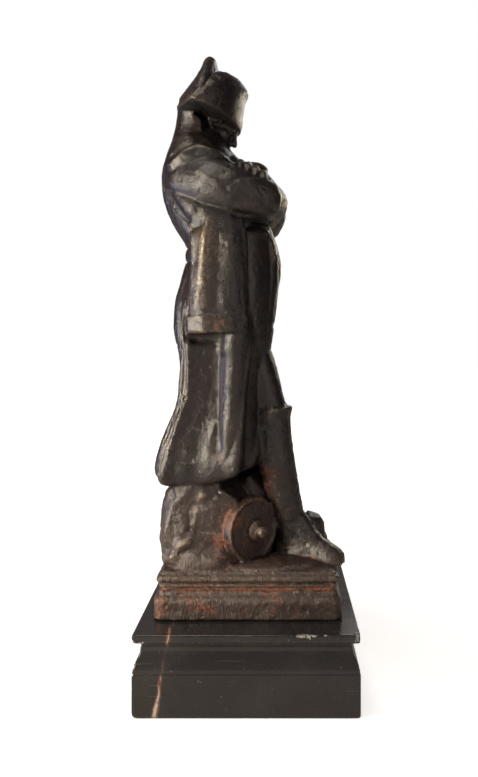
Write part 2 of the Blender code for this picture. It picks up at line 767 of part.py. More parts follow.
def make_casting(collection, helpers):
    """Figure, rock, cannon and stepped base, cast as one solid."""
    cannon = make_cannon(helpers)
    base = make_base(helpers)
    bpy.context.view_layer.update()
    shape = figure_blocks()
    shape.from_mesh(evaluated_mesh(cannon))
    clay = new_object("figure_clay", shape, helpers)
    fused = clay.modifiers.new("Fused", "REMESH")
    fused.mode = "VOXEL"
    fused.voxel_size = CLAY_GRAIN
    softened = clay.modifiers.new("Softened", "SMOOTH")
    softened.factor = 0.5
    softened.iterations = SMOOTH_ROUNDS
    bpy.context.view_layer.update()
    skin = outer_skin(evaluated_mesh(clay))
    faces = sum(len(face.verts) - 2 for face in skin.faces)
    casting = new_object("cast_iron_figure", skin, collection)
    fewer = casting.modifiers.new("Fewer faces", "DECIMATE")
    fewer.ratio = min(1.0, CASTING_TRIANGLES / faces)
    joined = casting.modifiers.new("With the base", "BOOLEAN")
    joined.operation = "UNION"
    joined.solver = "EXACT"
    joined.object = base
    for helper in (cannon, base, clay):
        helper.hide_render = True
        helper.display_type = "WIRE"
    return casting


def make_plinth(collection):
    """A square block, a cove, a narrow neck and a chamfered slab, cut from one piece of marble."""
    cove_bottom = BLOCK_HEIGHT
    neck_bottom = cove_bottom + COVE_HEIGHT
    slab_bottom = neck_bottom + NECK_HEIGHT
    profile = [(0, PLINTH_ARRIS * 1.6), (PLINTH_ARRIS * 1.6, 0)]
    profile += [(cove_bottom - PLINTH_ARRIS, 0), (cove_bottom, PLINTH_ARRIS * 0.4)]
    for step in range(1, 9):
        share = step / 8
        inset = NECK_INSET * (share - math.sin(2 * math.pi * share) / (2 * math.pi) * 0.8)
        profile.append((cove_bottom + COVE_HEIGHT * share, PLINTH_ARRIS * 0.4 + inset))
    profile.append((slab_bottom, NECK_INSET + PLINTH_ARRIS))
    profile.append((slab_bottom + SLAB_CHAMFER, 0))
    profile.append((PLINTH_HEIGHT - PLINTH_ARRIS, 0))
    profile.append((PLINTH_HEIGHT, PLINTH_ARRIS))
    shape = bmesh.new()
    add_loft(shape, [
        rounded_rectangle(PLINTH_LENGTH - 2 * inset, PLINTH_DEPTH - 2 * inset, PLINTH_ARRIS, height, 2)
        for height, inset in profile
    ])
    return new_object("marble_plinth", shape, collection)


def main():
    clear_scene()
    parts = bpy.data.collections.new("Officer on a plinth")
    helpers = bpy.data.collections.new("Helpers")
    for collection in (parts, helpers):
        bpy.context.scene.collection.children.link(collection)
    iron = material("Cast iron", (0.045, 0.038, 0.034), 0.42, 0.9)
    marble = material("Black marble", (0.022, 0.021, 0.022), 0.16, 0.0)
    casting = make_casting(parts, helpers)
    casting.data.materials.append(iron)
    plinth = make_plinth(parts)
    plinth.data.materials.append(marble)
    casting.data.shade_smooth()


main()
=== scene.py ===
import math

import bmesh
import bpy
import numpy as np
from mathutils import Matrix, Vector


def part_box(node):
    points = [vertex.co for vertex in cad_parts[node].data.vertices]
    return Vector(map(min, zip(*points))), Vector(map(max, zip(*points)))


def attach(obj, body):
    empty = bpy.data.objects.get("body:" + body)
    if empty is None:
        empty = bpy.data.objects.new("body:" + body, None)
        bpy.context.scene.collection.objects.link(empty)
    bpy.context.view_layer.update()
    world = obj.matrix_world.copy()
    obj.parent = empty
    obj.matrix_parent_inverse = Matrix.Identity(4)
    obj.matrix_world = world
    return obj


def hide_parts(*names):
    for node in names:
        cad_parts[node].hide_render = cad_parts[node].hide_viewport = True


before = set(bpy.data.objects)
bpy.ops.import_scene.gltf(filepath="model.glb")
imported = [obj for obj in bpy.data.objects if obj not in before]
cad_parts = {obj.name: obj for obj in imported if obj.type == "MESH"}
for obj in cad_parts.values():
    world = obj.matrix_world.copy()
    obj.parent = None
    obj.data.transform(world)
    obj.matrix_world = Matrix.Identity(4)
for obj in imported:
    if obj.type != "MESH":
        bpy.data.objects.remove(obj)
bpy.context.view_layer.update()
ironLow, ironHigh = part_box("cast_iron_figure")
marbleLow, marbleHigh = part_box("marble_plinth")
mm = 0.001
print("frame loaded")

viewpoint = {
    "place": (0.0129, -0.331, 0.1487),
    "lens": 33.87,
    "longSide": 36.0,
    "shiftAcross": -0.0515,
    "shiftUp": -0.0624,
}


def makeCamera(v):
    data = bpy.data.cameras.new("photoCamera")
    data.lens = v["lens"]
    data.sensor_width = v["longSide"]
    data.shift_x = v["shiftAcross"]
    data.shift_y = v["shiftUp"]
    data.clip_start = 0.01
    camera = bpy.data.objects.new("photoCamera", data)
    camera.location = v["place"]
    camera.rotation_euler = (math.radians(90), 0, 0)   # level, looking along +Y
    bpy.context.scene.collection.objects.link(camera)
    bpy.context.scene.camera = camera


# The figure is laid out in millimetres above the ground it stands on; the base is below zero.
casting = {
    "grain": 0.42,          # size of the clay's grain
    "quickGrain": 0.75,
    "smoothRounds": 3,
    "triangles": 188000,
    "baseHeight": 19.4,
    "topInset": 2.4,
    # millimetres above the marble and drawn in: a rolled step, a groove, a fillet, a groove, a torus
    "profile": (
        (0.0, 0.6), (0.6, 0.0), (3.5, 0.2), (7.0, 0.0), (8.2, 0.2), (9.1, 0.8), (9.8, 1.9), (11.2, 2.1),
        (11.7, 2.7), (12.0, 3.4), (12.8, 3.4), (13.0, 2.2), (14.1, 2.1), (14.3, 3.1), (14.9, 3.1),
        (15.1, 1.7), (15.8, 1.1), (16.8, 1.1), (17.6, 1.6), (18.1, 2.6), (18.9, 2.9), (19.4, 3.4),
    ),
    "corner": 4.2,
    "baseLength": 78.2,
    "baseDepth": 62.0,
}
groundHeight = ironLow.z * 1000 + casting["baseHeight"]


def newObject(name, shape):
    mesh = bpy.data.meshes.new(name)
    shape.to_mesh(mesh)
    shape.free()
    made = bpy.data.objects.new(name, mesh)
    bpy.context.scene.collection.objects.link(made)
    return made


def evaluatedMesh(item):
    graph = bpy.context.evaluated_depsgraph_get()
    return bpy.data.meshes.new_from_object(item.evaluated_get(graph))


def addLoft(shape, rings):
    rows = [[shape.verts.new(point) for point in ring] for ring in rings]
    for low, high in zip(rows, rows[1:]):
        for here in range(len(low)):
            there = (here + 1) % len(low)
            shape.faces.new((low[here], low[there], high[there], high[here]))
    shape.faces.new(rows[0][::-1])
    shape.faces.new(rows[-1])


def addBall(shape, centre, radii, turn=Matrix.Identity(3)):
    place = Matrix.Translation(centre) @ turn.to_4x4() @ Matrix.Diagonal((*radii, 1))
    bmesh.ops.create_uvsphere(shape, u_segments=32, v_segments=20, radius=1, matrix=place)


def smoothPath(points, steps):
    if len(points) < 3:
        return [points[0].lerp(points[-1], i / steps) for i in range(steps + 1)]
    padded = [2 * points[0] - points[1], *points, 2 * points[-1] - points[-2]]
    found = []
    for a, b, c, d in zip(padded, padded[1:], padded[2:], padded[3:]):
        for step in range(steps):
            t = step / steps
            square, cube = 2 * a - 5 * b + 4 * c - d, 3 * b - a - 3 * c + d
            found.append(0.5 * (2 * b + (c - a) * t + square * t**2 + cube * t**3))
    return found + [points[-1]]


def stations(rows, count):
    table = [Vector(row) for row in rows]
    return smoothPath(table, max(2, math.ceil(count / (len(table) - 1))))


def addLimb(shape, points, radii, flat=1.0, side=Vector((0, 1, 0)), steps=8, sides=24):
    centres = smoothPath([Vector(p) for p in points], steps)
    sizes = np.interp(np.linspace(0, 1, len(centres)), np.linspace(0, 1, len(radii)), radii)
    rings = []
    for index, centre in enumerate(centres):
        along = (centres[min(index + 1, len(centres) - 1)] - centres[max(index - 1, 0)]).normalized()
        across = (side - along * side.dot(along)).normalized()
        up = along.cross(across)
        domes = ((0, 1),)
        if index == 0:
            domes = ((-0.95, 0.25), (-0.75, 0.62), (-0.4, 0.9), (0, 1))
        elif index == len(centres) - 1:
            domes = ((0, 1), (0.4, 0.9), (0.75, 0.62), (0.95, 0.25))
        for shift, share in domes:
            size = sizes[index]
            middle = centre + along * shift * size * min(flat, 1.0)
            rings.append([
                middle + up * math.cos(turn) * size * share + across * math.sin(turn) * size * share * flat
                for turn in np.linspace(0, -2 * math.pi, sides, endpoint=False)
            ])
    addLoft(shape, rings)


def oval(z, back, front, halfWidth, square=2.4, count=144, swell=None):
    middle, ring = (back + front) / 2, []
    for step in range(count):
        turn = 2 * math.pi * step / count
        cosine, sine = math.cos(turn), math.sin(turn)
        x = (front - middle) * math.copysign(abs(cosine) ** (2 / square), cosine)
        y = halfWidth * math.copysign(abs(sine) ** (2 / square), sine)
        if swell:
            push = swell(math.degrees(turn), z)
            out = Vector((x, y)).normalized()
            x, y = x + out.x * push, y + out.y * push
        ring.append((middle + x, y, z))
    return ring


def bump(value, centre, width):
    return math.exp(-(((value - centre) / width) ** 2))


def ease(value, low, high):
    share = min(1, max(0, (value - low) / (high - low)))
    return share * share * (3 - 2 * share)


greatcoat = {
    # angle round from the front at the waist and at the hem, width and depth of each fold
    "folds": (
        (-36, -37, 6, 1.0), (-48, -50, 7, -0.9), (-64, -66, 8, 3.6), (-98, -100, 16, -3.0),
        (-128, -134, 8, 4.4), (-148, -150, 7, -2.2), (-166, -166, 8, 1.2), (180, 180, 5, -1.6),
        (165, 165, 8, 1.2), (146, 150, 8, -1.8), (127, 130, 9, 4.0), (104, 102, 13, -2.8),
        (76, 74, 9, 3.6), (54, 52, 8, -1.6), (36, 36, 6, 1.5),
    ),
    # height, back, front and half width
    "rings": (
        (34.0, -37.0, 3.0, 24.0), (35.0, -39.8, 5.2, 26.4), (38.0, -41.4, 6.6, 27.6),
        (44, -40.8, 7.2, 28.0), (54, -37.6, 7.0, 27.0), (65, -32.8, 6.6, 25.5), (76, -30.4, 6.6, 24.8),
        (88, -30.6, 8.6, 25.0), (100, -33.0, 10.6, 24.5), (112, -33.2, 12.4, 23.5), (124, -30.6, 13.6, 22.0),
        (136, -28.4, 13.0, 21.5), (147, -34.4, 9.6, 22.0), (158, -38.6, 1.0, 24.0), (168, -39.4, -3.0, 25.5),
        (176, -37.8, -6.5, 24.0), (182, -36.0, -10.0, 18.0), (187, -34.5, -12.0, 12.5),
    ),
    "openingHalfAngle": 27,
    "openingDepth": 15,
    "facingAngle": 32,
    "facingHeights": (47, 60, 76, 92, 108, 124, 138, 150),
    "facingRadius": 1.2,
    "facingFlattening": 2.6,
}


def coatSwell(angle, z):
    skirt = 1 - ease(z, 92, 134)
    push = 0
    for top, hem, width, depth in greatcoat["folds"]:
        centre = top + (hem - top) * (1 - ease(z, 36, 110))
        push += depth * skirt * bump((angle - centre + 180) % 360 - 180, 0, width)
    turned = (angle + 180) % 360 - 180
    half = greatcoat["openingHalfAngle"]
    opened = 1 - ease(abs(turned), half - 6, half)
    return push - greatcoat["openingDepth"] * opened * (1 - ease(z, 150, 165))


def addCoat(shape):
    rings = []
    for z, back, front, halfWidth in stations(greatcoat["rings"], 90):
        ring = oval(z, back, front, halfWidth, swell=coatSwell)
        hemRise = (1 - ease(z, 36, 52)) * 7
        rings.append([(x, y, z + hemRise * ease(x, -22, 6)) for x, y, z in ring])
    addLoft(shape, rings)


def addFacings(shape, side):
    angle = greatcoat["facingAngle"]
    rows = np.array(greatcoat["rings"])
    path = []
    for z in greatcoat["facingHeights"]:
        back, front, halfWidth = (np.interp(z, rows[:, 0], rows[:, column]) for column in (1, 2, 3))
        path.append(oval(z, back, front, halfWidth, count=360, swell=coatSwell)[(side * angle) % 360])
    across = Vector((-math.sin(math.radians(angle)), side * math.cos(math.radians(angle)), 0))
    thick = greatcoat["facingRadius"]
    addLimb(shape, path, (thick, thick), greatcoat["facingFlattening"], across, 6, 18)


body = {
    # height, back, front and half width
    "rings": (
        (90, -14.0, 8.0, 15.0), (100, -18.0, 10.0, 17.0), (112, -20.0, 11.5, 17.0), (124, -20.0, 13.6, 16.0),
        (131, -20.0, 13.8, 15.5), (140, -22.0, 11.6, 16.5), (152, -30.0, 7.0, 20.0), (165, -33.0, 3.0, 22.0),
        (174, -32.0, -2.0, 18.0), (182, -29.0, -9.0, 11.0), (190, -25.0, -9.0, 8.0),
    ),
}


def addBody(shape):
    addLoft(shape, [oval(*row, square=2.2, count=72) for row in stations(body["rings"], 45)])


sleeve = {
    # height, middle forwards, middle sideways, half width and half thickness
    "rings": (
        (160, -15.0, 21.0, 9.0, 4.5), (150, -13.5, 23.6, 11.0, 5.6), (138, -12.4, 25.0, 11.8, 6.2),
        (124, -12.2, 25.6, 12.0, 6.4), (106.4, -12.6, 25.8, 12.3, 6.4),
    ),
    "cuffHeight": 7.2,
    "cuffFlare": 1.25,
    "cuffHollow": 3.0,
    "cuffWall": 3.2,
    "edgeCut": 1.42,
}


def addSleeve(shape, side):
    rows = [(*row, 0.0, 0.0) for row in stations(sleeve["rings"], 36)]
    low, tall, flare = rows[-1][:5], sleeve["cuffHeight"], sleeve["cuffFlare"]
    wall = sleeve["cuffWall"]
    for drop, wider, shrink in (
        (0.2, 0.4, 0), (0.9, 0.8, 0), (1.6, 1, 0), (tall * 0.55, 0.75, 0), (tall - 1, 1, 0), (tall, 0.6, 0),
        (tall, 0, wall), (tall - sleeve["cuffHollow"], 0, wall + 0.4),
    ):
        wide, thick = low[3] - shrink, low[4] - shrink
        rows.append((low[0] - drop, low[1], low[2], wide, thick, wider * flare, drop / tall))
    rings = []
    for z, x, y, wide, thick, flare, down in rows:
        ring = []
        for turn in np.linspace(0, 2 * math.pi, 60, endpoint=False):
            back = 0.5 - 0.5 * math.cos(turn)   # 1 at the back of the sleeve
            out = flare * (0.25 + 0.75 * back**0.7)
            px = math.copysign(abs(math.cos(turn)) ** 0.7, math.cos(turn))
            py = math.copysign(abs(math.sin(turn)) ** 0.7, math.sin(turn))
            cut = min(1, sleeve["edgeCut"] / (abs(px) + abs(py)))   # a flat worn along each edge
            px, py = px * cut * (wide + out), py * cut * (thick + out)
            ring.append((x + px, side * (y - py), z - down * 0.9 * back))
        rings.append(ring[::side])
    addLoft(shape, rings)


# the broad panel at each side of the coat's front
panel = {
    "points": ((2.2, 17.4, 140), (2.4, 17.4, 120), (1.2, 17.8, 100), (-0.6, 18.0, 80), (-1.2, 18.6, 62),
               (-1.6, 19.2, 48)),
    "radii": (4.2, 5.0, 5.0, 4.4, 4.0, 3.4),
    "flattening": 2.1,
    "across": (0.63, -0.78),
}
# long round folds that stand out of the coat: points and radii
longFolds = (
    (((-4.2, -24.0, 112), (-5.2, -24.6, 98), (-6.2, -23.2, 86), (-6.8, -22.4, 72), (-7.4, -22.6, 58),
      (-8.4, -23.6, 46)), (3.6, 6.0, 6.0, 5.8, 5.8, 4.4)),
    (((-27.0, -17.5, 97), (-27.4, -16.5, 80), (-29.0, -17.5, 64), (-33.5, -19.5, 50), (-36.5, -19.5, 40)),
     (2.0, 2.6, 2.8, 3.0, 2.2)),
    (((-3.5, 24.3, 112), (-4.6, 25.2, 97), (-6.0, 23.8, 76), (-7.0, 24.8, 45)), (3.6, 5.0, 4.2, 3.2)),
    (((-25.0, 17.5, 96), (-28.0, 17.5, 70), (-34.0, 20.0, 42)), (2.2, 2.8, 2.4)),
)


def addDrapes(shape):
    x, y = panel["across"]
    for side in (-1, 1):
        points = [(forwards, side * sideways, up) for forwards, sideways, up in panel["points"]]
        addLimb(shape, points, panel["radii"], panel["flattening"], Vector((x, side * y, 0)))
    for points, radii in longFolds:
        addLimb(shape, points, radii, side=Vector((1, 0, 0)))


def addArms(shape):
    forward = Vector((1, 0, 0))
    # right arm, whose forearm goes under the left one
    addLimb(shape, [(-26, -16.5, 164.0), (-15, -22.2, 161), (-3, -23.6, 156.9), (6.6, -20.5, 155.2)],
            (10.5, 11.6, 9.9, 8.9), 0.88)
    addLimb(shape, [(6, -20, 155.4), (9.5, -12, 155.2), (8, 0, 153), (6, 12, 151)],
            (8.8, 8.0, 6.6, 5.5), 0.9, forward)
    addLimb(shape, [(-31, -15, 160), (-22, -22.5, 151), (-8, -23.5, 147.5)], (6.0, 6.5, 6.0), 0.9)
    # left arm, whose hand lies over the right one
    addLimb(shape, [(-25, 17, 165), (-15, 22.5, 162), (-2, 23.5, 156.0), (7, 20.5, 151.5)],
            (10.5, 11.5, 10.2, 8.6), 0.86)
    addLimb(shape, [(7, 20, 151.5), (10, 12, 155.5), (8.5, 2, 161.5), (3.6, -8, 167.0)],
            (8.2, 7.0, 6.2, 5.4), 0.9, forward)
    addLimb(shape, [(5.0, -5.6, 165.6), (3.0, -8.6, 167.8)], (6.0, 6.0), 0.75, forward)   # left coat cuff
    addLimb(shape, [(7.0, 10.0, 151.6), (6.2, 12.6, 151.2)], (6.6, 6.6), 0.8, forward)    # right coat cuff


hand = {"pitch": 3.25, "fingerRadius": 1.75}


def addHands(shape):
    forward, r = Vector((1, 0, 0)), hand["fingerRadius"]
    addBall(shape, (0.6, -12.0, 169.6), (7.6, 6.2, 3.8))
    for number in range(4):
        x, z = -3.6 + hand["pitch"] * number, 171.6 - 0.9 * number - 0.2 * number**2
        finger = [(x - 0.4, -11, z - 1.6), (x, -16.8, z), (x + 0.1, -21.0, z - 1.4), (x, -24.6, z - 5.0)]
        addLimb(shape, finger, (r * 0.95, r * 1.12, r, r * 0.85), side=forward, sides=14)
    thumb = [(-5.0, -10.5, 168.5), (-7.4, -14.0, 169.0), (-7.8, -18.0, 168.4)]
    addLimb(shape, thumb, (2.0, 1.8, 1.5), sides=14)
    addBall(shape, (2, 15, 151), (6, 5, 4))
    for number in range(4):
        x = -3 + hand["pitch"] * number
        finger = [(x, 17, 148.5), (x, 22, 145.5), (x - 0.3, 26, 147.0)]
        addLimb(shape, finger, (r, r, 1.4), side=forward, sides=14)


head = {"centre": Vector((-15.4, 0, 193.8)), "bow": math.radians(30)}


def addHead(shape):
    bow = Matrix.Rotation(head["bow"], 3, "Y")

    def at(forwards, sideways, up):
        return head["centre"] + bow @ Vector((forwards, sideways, up))

    def line(points, radii, flat=1.0, sides=14):
        addLimb(shape, [at(*p) for p in points], radii, flat, Vector((0, 1, 0.01)), 5, sides)

    addBall(shape, at(-1.5, 0, 3.2), (11.6, 9.0, 10.4), bow)
    addBall(shape, at(1.0, 0, -4.0), (8.4, 7.5, 9.6), bow)
    addBall(shape, at(2.8, 0, -8.6), (6.4, 6.2, 5.0), bow)
    addBall(shape, at(7.0, 0, -11.6), (2.6, 2.9, 2.2), bow)
    addBall(shape, at(8.0, 0, -7.9), (2.2, 3.4, 2.5), bow)
    line(((6.8, -6.0, 2.2), (9.0, -2.8, 2.9), (9.5, 0, 2.5), (9.0, 2.8, 2.9), (6.8, 6.0, 2.2)),
         (1.1, 1.3, 1.2, 1.3, 1.1))
    line(((8.9, 0, 1.8), (10.5, 0, -1.8), (11.9, 0, -4.4)), (1.0, 1.1, 1.4))
    line(((8.7, -2.6, -8.0), (10.0, -0.8, -7.4), (10.0, 0.8, -7.4), (8.7, 2.6, -8.0)), (0.4, 0.6, 0.6, 0.4))
    line(((8.7, -2.2, -8.9), (10.0, 0, -9.2), (8.7, 2.2, -8.9)), (0.45, 0.8, 0.45))
    for side in (-1, 1):
        addBall(shape, at(5.6, 4.8 * side, -3.4), (3.1, 2.6, 2.4), bow)
        addBall(shape, at(7.1, 3.3 * side, -0.3), (1.9, 1.9, 1.4), bow)
        line(((7.8, 1.5 * side, -0.5), (9.0, 3.3 * side, 0.5), (7.6, 5.1 * side, -0.6)), (0.4, 0.5, 0.4))
        line(((7.8, 1.7 * side, -1.0), (8.7, 3.3 * side, -1.4), (7.6, 4.9 * side, -1.1)), (0.35, 0.4, 0.35))
        addBall(shape, at(9.9, 1.45 * side, -4.9), (1.3, 0.9, 0.95), bow)
        ear = ((0.8, 8.5, 1.8), (-0.9, 9.5, 2.4), (-2.2, 9.6, 0.6), (-1.6, 9.2, -2.0), (0.0, 8.5, -3.8))
        line([(x, side * y, z) for x, y, z in ear], (0.8, 0.9, 0.9, 0.8, 0.8))
        addBall(shape, at(-0.6, 8.5 * side, -0.4), (1.5, 0.7, 2.6), bow)
        for lock in range(5):
            f = 3.4 - 1.6 * lock
            tip = (f - 0.2 - 0.3 * lock, 8.7 * side, -0.6 - 0.5 * lock)
            line(((f, 8.2 * side, 5.5), (f - 0.6, 8.9 * side, 2.5), tip), (1.2, 1.2, 0.5))
    for lock in range(9):
        y = -7.2 + 1.8 * lock
        back = -12.4 + 0.055 * y * y
        hair = ((back + 1.0, y, 4.0), (back - 0.2, y * 1.04, -1.5), (back + 1.6, y * 1.02, -7.0))
        line(hair, (1.3, 1.4, 0.8))
    addLimb(shape, [(-19, 0, 174), (-18, 0, 183), (-16.5, 0, 191)], (10.8, 8.4, 7.6))
    for level, forwards, wide in ((177.0, -9.4, 9.8), (179.2, -9.8, 9.2), (181.4, -10.6, 8.6)):
        ring = [
            (forwards - wide + wide * math.cos(t), 0.98 * wide * math.sin(t),
             level - 0.5 + 0.8 * math.cos(2 * t))
            for t in np.linspace(-1.9, 1.9, 9)
        ]
        addLimb(shape, ring, (1.5, 1.5), sides=12, side=Vector((0, 0, 1)))   # folds of the neckcloth


collar = {
    # height, back, front and half width
    "rings": (
        (177, -37.2, -8.0, 18.5), (182, -35.9, -10.0, 15.5), (187, -34.7, -11.0, 13.8),
        (192, -33.4, -12.0, 13.2), (197, -32.9, -12.5, 13.0), (201, -33.2, -13.0, 13.0),
    ),
    "thickness": 2.6,
    "slope": 0.72,
}


def addCollar(shape):
    def swell(angle, z):
        turned = abs((angle + 180) % 360 - 180)
        edge = 62 + 20 * ease(z, 178, 198)
        return -10 * (1 - ease(turned, edge - 6, edge))

    def slope(ring):
        # the top edge runs down from the nape to the jaw
        return [(x, y, z - collar["slope"] * max(0, x + 33) * ease(z, 178, 200)) for x, y, z in ring]

    outer = [slope(oval(*row, count=96, swell=swell)) for row in stations(collar["rings"], 25)]
    top, wall = collar["rings"][-1], collar["thickness"]
    inner = [
        slope(oval(height, top[1] + wall, top[2] - 1, top[3] - wall, count=96, swell=swell))
        for height in (top[0], top[0] - 7)
    ]
    addLoft(shape, outer + inner)


hat = {
    "halfWidth": 27,
    "sections": 48,
    "corner": (-22.4, 196.6),
    "brimBack": (-32.2, 199.4),
    "sideDroop": 6.0,
    "lipReach": 1.7,
    "brimFront": (-4.0, 190.0),
    # place forwards, height above the brim's fold, and which part of the hat it is on
    "profile": (
        (-32.2, 0.0, "rear"), (-31.6, 5.2, "rear"), (-28.5, 10.0, "rear"), (-23.6, 19.0, "rear"),
        (-21.4, 24.1, "rear"), (-20.0, 27.8, "rear"), (-18.2, 29.6, "rear"), (-16.0, 28.9, "rear"),
        (-14.4, 25.0, "rear"), (-14.2, 21.8, "gap"), (-13.0, 22.4, "crown"), (-9.0, 23.0, "crown"),
        (-4.8, 22.0, "crown"), (-2.2, 20.0, "lip"), (-0.8, 18.0, "lip"), (-2.3, 14.6, "front"),
        (-3.2, 8.0, "front"), (-3.7, 3.0, "front"), (-4.6, 0.0, "front"),
        (-8.0, -0.3, "under"), (-18.0, -0.5, "under"), (-29.0, -0.4, "under"),
    ),
}


def brimHeight(forwards):
    (x0, z0), (x1, z1) = hat["brimBack"], hat["brimFront"]
    return z0 + (forwards - x0) / (x1 - x0) * (z1 - z0)


def hatSection(share):
    length = max(0.0, 1 - share**2.0) ** 0.6
    corner = hat["corner"]
    droop = (corner[1] - brimHeight(corner[0])) * share**1.8
    heights = {
        "rear": max(0.0, 1 - share**1.5) ** 0.9,
        "gap": max(0.0, 1 - share**1.2),
        "crown": max(0.0, 1 - share**2.3) ** 0.75,
        "lip": max(0.0, 1 - share**2.3) ** 0.75,
        "front": max(0.0, 1 - share**2.3) ** 0.75,
        "under": length,
    }
    for forwards, height, part in hat["profile"]:
        x = corner[0] + (forwards - corner[0]) * length
        x -= hat["lipReach"] * (part == "lip") * ease(share, 0.1, 0.5)
        behind = max(0.0, (corner[0] - x) / (corner[0] - hat["brimBack"][0])) * (1 - ease(height, 2, 14))
        hang = hat["sideDroop"] * behind * share**1.2 * (1 - share**8)
        pinch = (1.0 if height > 0 else -0.4) * (1 - length)
        z = brimHeight(x) + droop - hang + height * heights[part] + pinch
        yield x, z


def addHat(shape):
    sections, steps = [], hat["sections"]
    for step in range(steps + 1):
        across = -math.cos(math.pi * step / steps)
        sections.append([(x, hat["halfWidth"] * across, z) for x, z in hatSection(abs(across))])
    addLoft(shape, sections)


legs = {
    "near": ((-8, -8, 104), (9, -11, 64), (18.5, -6.5, 10), -22),
    "far": ((-8, 8, 104), (7, 11, 63), (15.0, 10, 10), 36),
    # along the foot from the heel: half width and height of the top above the sole
    "boot": (
        (-6.2, 3.6, 8.0), (-4.5, 5.2, 13.0), (0.0, 5.8, 20.0), (4.0, 5.8, 21.5), (7.0, 5.6, 18.6),
        (10.0, 5.4, 14.6), (14.0, 5.7, 10.0), (18.0, 5.8, 7.8), (21.5, 4.8, 6.0), (24.0, 2.6, 3.8),
    ),
}


def addLeg(shape, side, hip, knee, ankle, toeTurn):
    hip, knee, ankle = Vector(hip), Vector(knee), Vector(ankle)
    addLimb(shape, [hip, hip.lerp(knee, 0.5) + Vector((1.0, 0, 0)), knee], (11.5, 10.2, 7.6))
    calf = knee.lerp(ankle, 0.38) + Vector((-1.2, side * 0.6, 0))
    addLimb(shape, [knee, calf, ankle + Vector((-0.8, 0, 7)), ankle], (8.6, 8.5, 6.4, 6.0))
    low, high = knee + Vector((-0.6, 0, -7)), knee + Vector((1.0, 0, 2.5))
    bootTop = ((low, 8.3, 0), (low.lerp(high, 0.6), 8.6, 0), (high, 9.0, 0.7), (high, 7.4, 0.7))
    addLoft(shape, [
        [(middle.x + radius * math.cos(t), middle.y + radius * math.sin(t), middle.z + lift * math.cos(t))
         for t in np.linspace(0, 2 * math.pi, 40, endpoint=False)]
        for middle, radius, lift in bootTop
    ])
    place = Matrix.Translation((ankle.x, ankle.y, 0)) @ Matrix.Rotation(math.radians(toeTurn), 4, "Z")
    sections, soles = [], []
    for along, halfWidth, top in stations(legs["boot"], 36):
        ring, sole = [], []
        for t in np.linspace(0, 2 * math.pi, 36, endpoint=False):
            across = math.copysign(abs(math.cos(t)) ** 0.85, math.cos(t))
            z = top * max(math.sin(t), 0) ** 0.9 - 0.8 * (math.sin(t) < 0)
            ring.append(place @ Vector((along, halfWidth * across, z)))
            tread = 1.5 if math.sin(t) > 0 else -0.8
            sole.append(place @ Vector((along * 1.01, (halfWidth + 0.45) * across, tread)))
        sections.append(ring)
        soles.append(sole)
    addLoft(shape, sections)
    addLoft(shape, soles)


ground = {
    # middle, radii and seed of each stone
    "stones": (
        ((-30.0, -9, 16), (9.2, 17, 21), 1), ((-29.0, 12, 14), (10.0, 16, 20), 4),
        ((-14.0, 0, 20), (16, 20, 18), 7), ((-14.5, -14, 19), (13, 11, 17), 2),
        ((-19.0, -18, 2), (15.5, 9.5, 11), 5), ((-15.0, 18, 4), (20, 11, 12), 3),
        ((4.0, -16, -1), (30, 12.5, 4.0), 6), ((0.0, 5, 14), (14, 16, 26), 8),
        ((28.5, 13, 5.0), (6.2, 8.5, 10.5), 9), ((12.0, 14, -1), (23, 14, 5), 10),
        ((-24.5, -13, 24), (9, 9, 12.5), 11), ((-22.0, -14.5, 31), (13, 9, 8.5), 13),
        ((-23.5, -16.5, 21), (8, 7, 9.5), 15), ((-20.0, -19.0, 2), (14, 9.5, 10.5), 16),
        ((-22.0, 14, 30), (12, 9, 8), 14), ((-24.0, -14, 8), (13, 13, 10), 12),
    ),
    "stonePoints": 34,
    "rise": 0.5,
    "depth": 3.0,
    "inset": 1.6,
}


def addStones(shape):
    count = ground["stonePoints"]
    for centre, radii, seed in ground["stones"]:
        random = np.random.default_rng(seed)
        corners = []
        for number in range(count):
            height = 1 - 2 * (number + 0.5) / count
            turn = math.pi * (1 + math.sqrt(5)) * number + seed
            wide = math.sqrt(1 - height * height)
            spread = Vector((wide * math.cos(turn), wide * math.sin(turn), height))
            spread *= 0.84 + 0.24 * random.random()
            boxed = Vector(math.copysign(abs(value) ** 0.75, value) for value in spread)
            corners.append(shape.verts.new(Vector(centre) + boxed * Vector(radii)))
        hull = bmesh.ops.convex_hull(shape, input=corners)
        spare = [item for item in hull["geom_interior"] if isinstance(item, bmesh.types.BMVert)]
        bmesh.ops.delete(shape, geom=spare, context="VERTS")


def roundedRectangle(length, depth, radius, z, cornerSteps=8):
    ring = []
    for quarter, (sx, sy) in enumerate(((1, 1), (-1, 1), (-1, -1), (1, -1))):
        cx, cy = sx * (length / 2 - radius), sy * (depth / 2 - radius)
        for step in range(cornerSteps + 1):
            turn = math.pi / 2 * (quarter + step / cornerSteps)
            ring.append((cx + radius * math.cos(turn), cy + radius * math.sin(turn), z))
    return ring


def addBase(shape):
    c = casting
    bottom = -c["baseHeight"]
    inset = 2 * (c["topInset"] + ground["inset"])
    long, deep = c["baseLength"] - inset, c["baseDepth"] - inset
    addLoft(shape, [
        roundedRectangle(long - 2 * draw, deep - 2 * draw, c["corner"], z)
        for z, draw in ((-ground["depth"], 0), (0, 0), (ground["rise"], ground["inset"]))
    ])
    addLoft(shape, [
        roundedRectangle(c["baseLength"] - 2 * draw, c["baseDepth"] - 2 * draw, c["corner"], bottom + height)
        for height, draw in c["profile"]
    ])


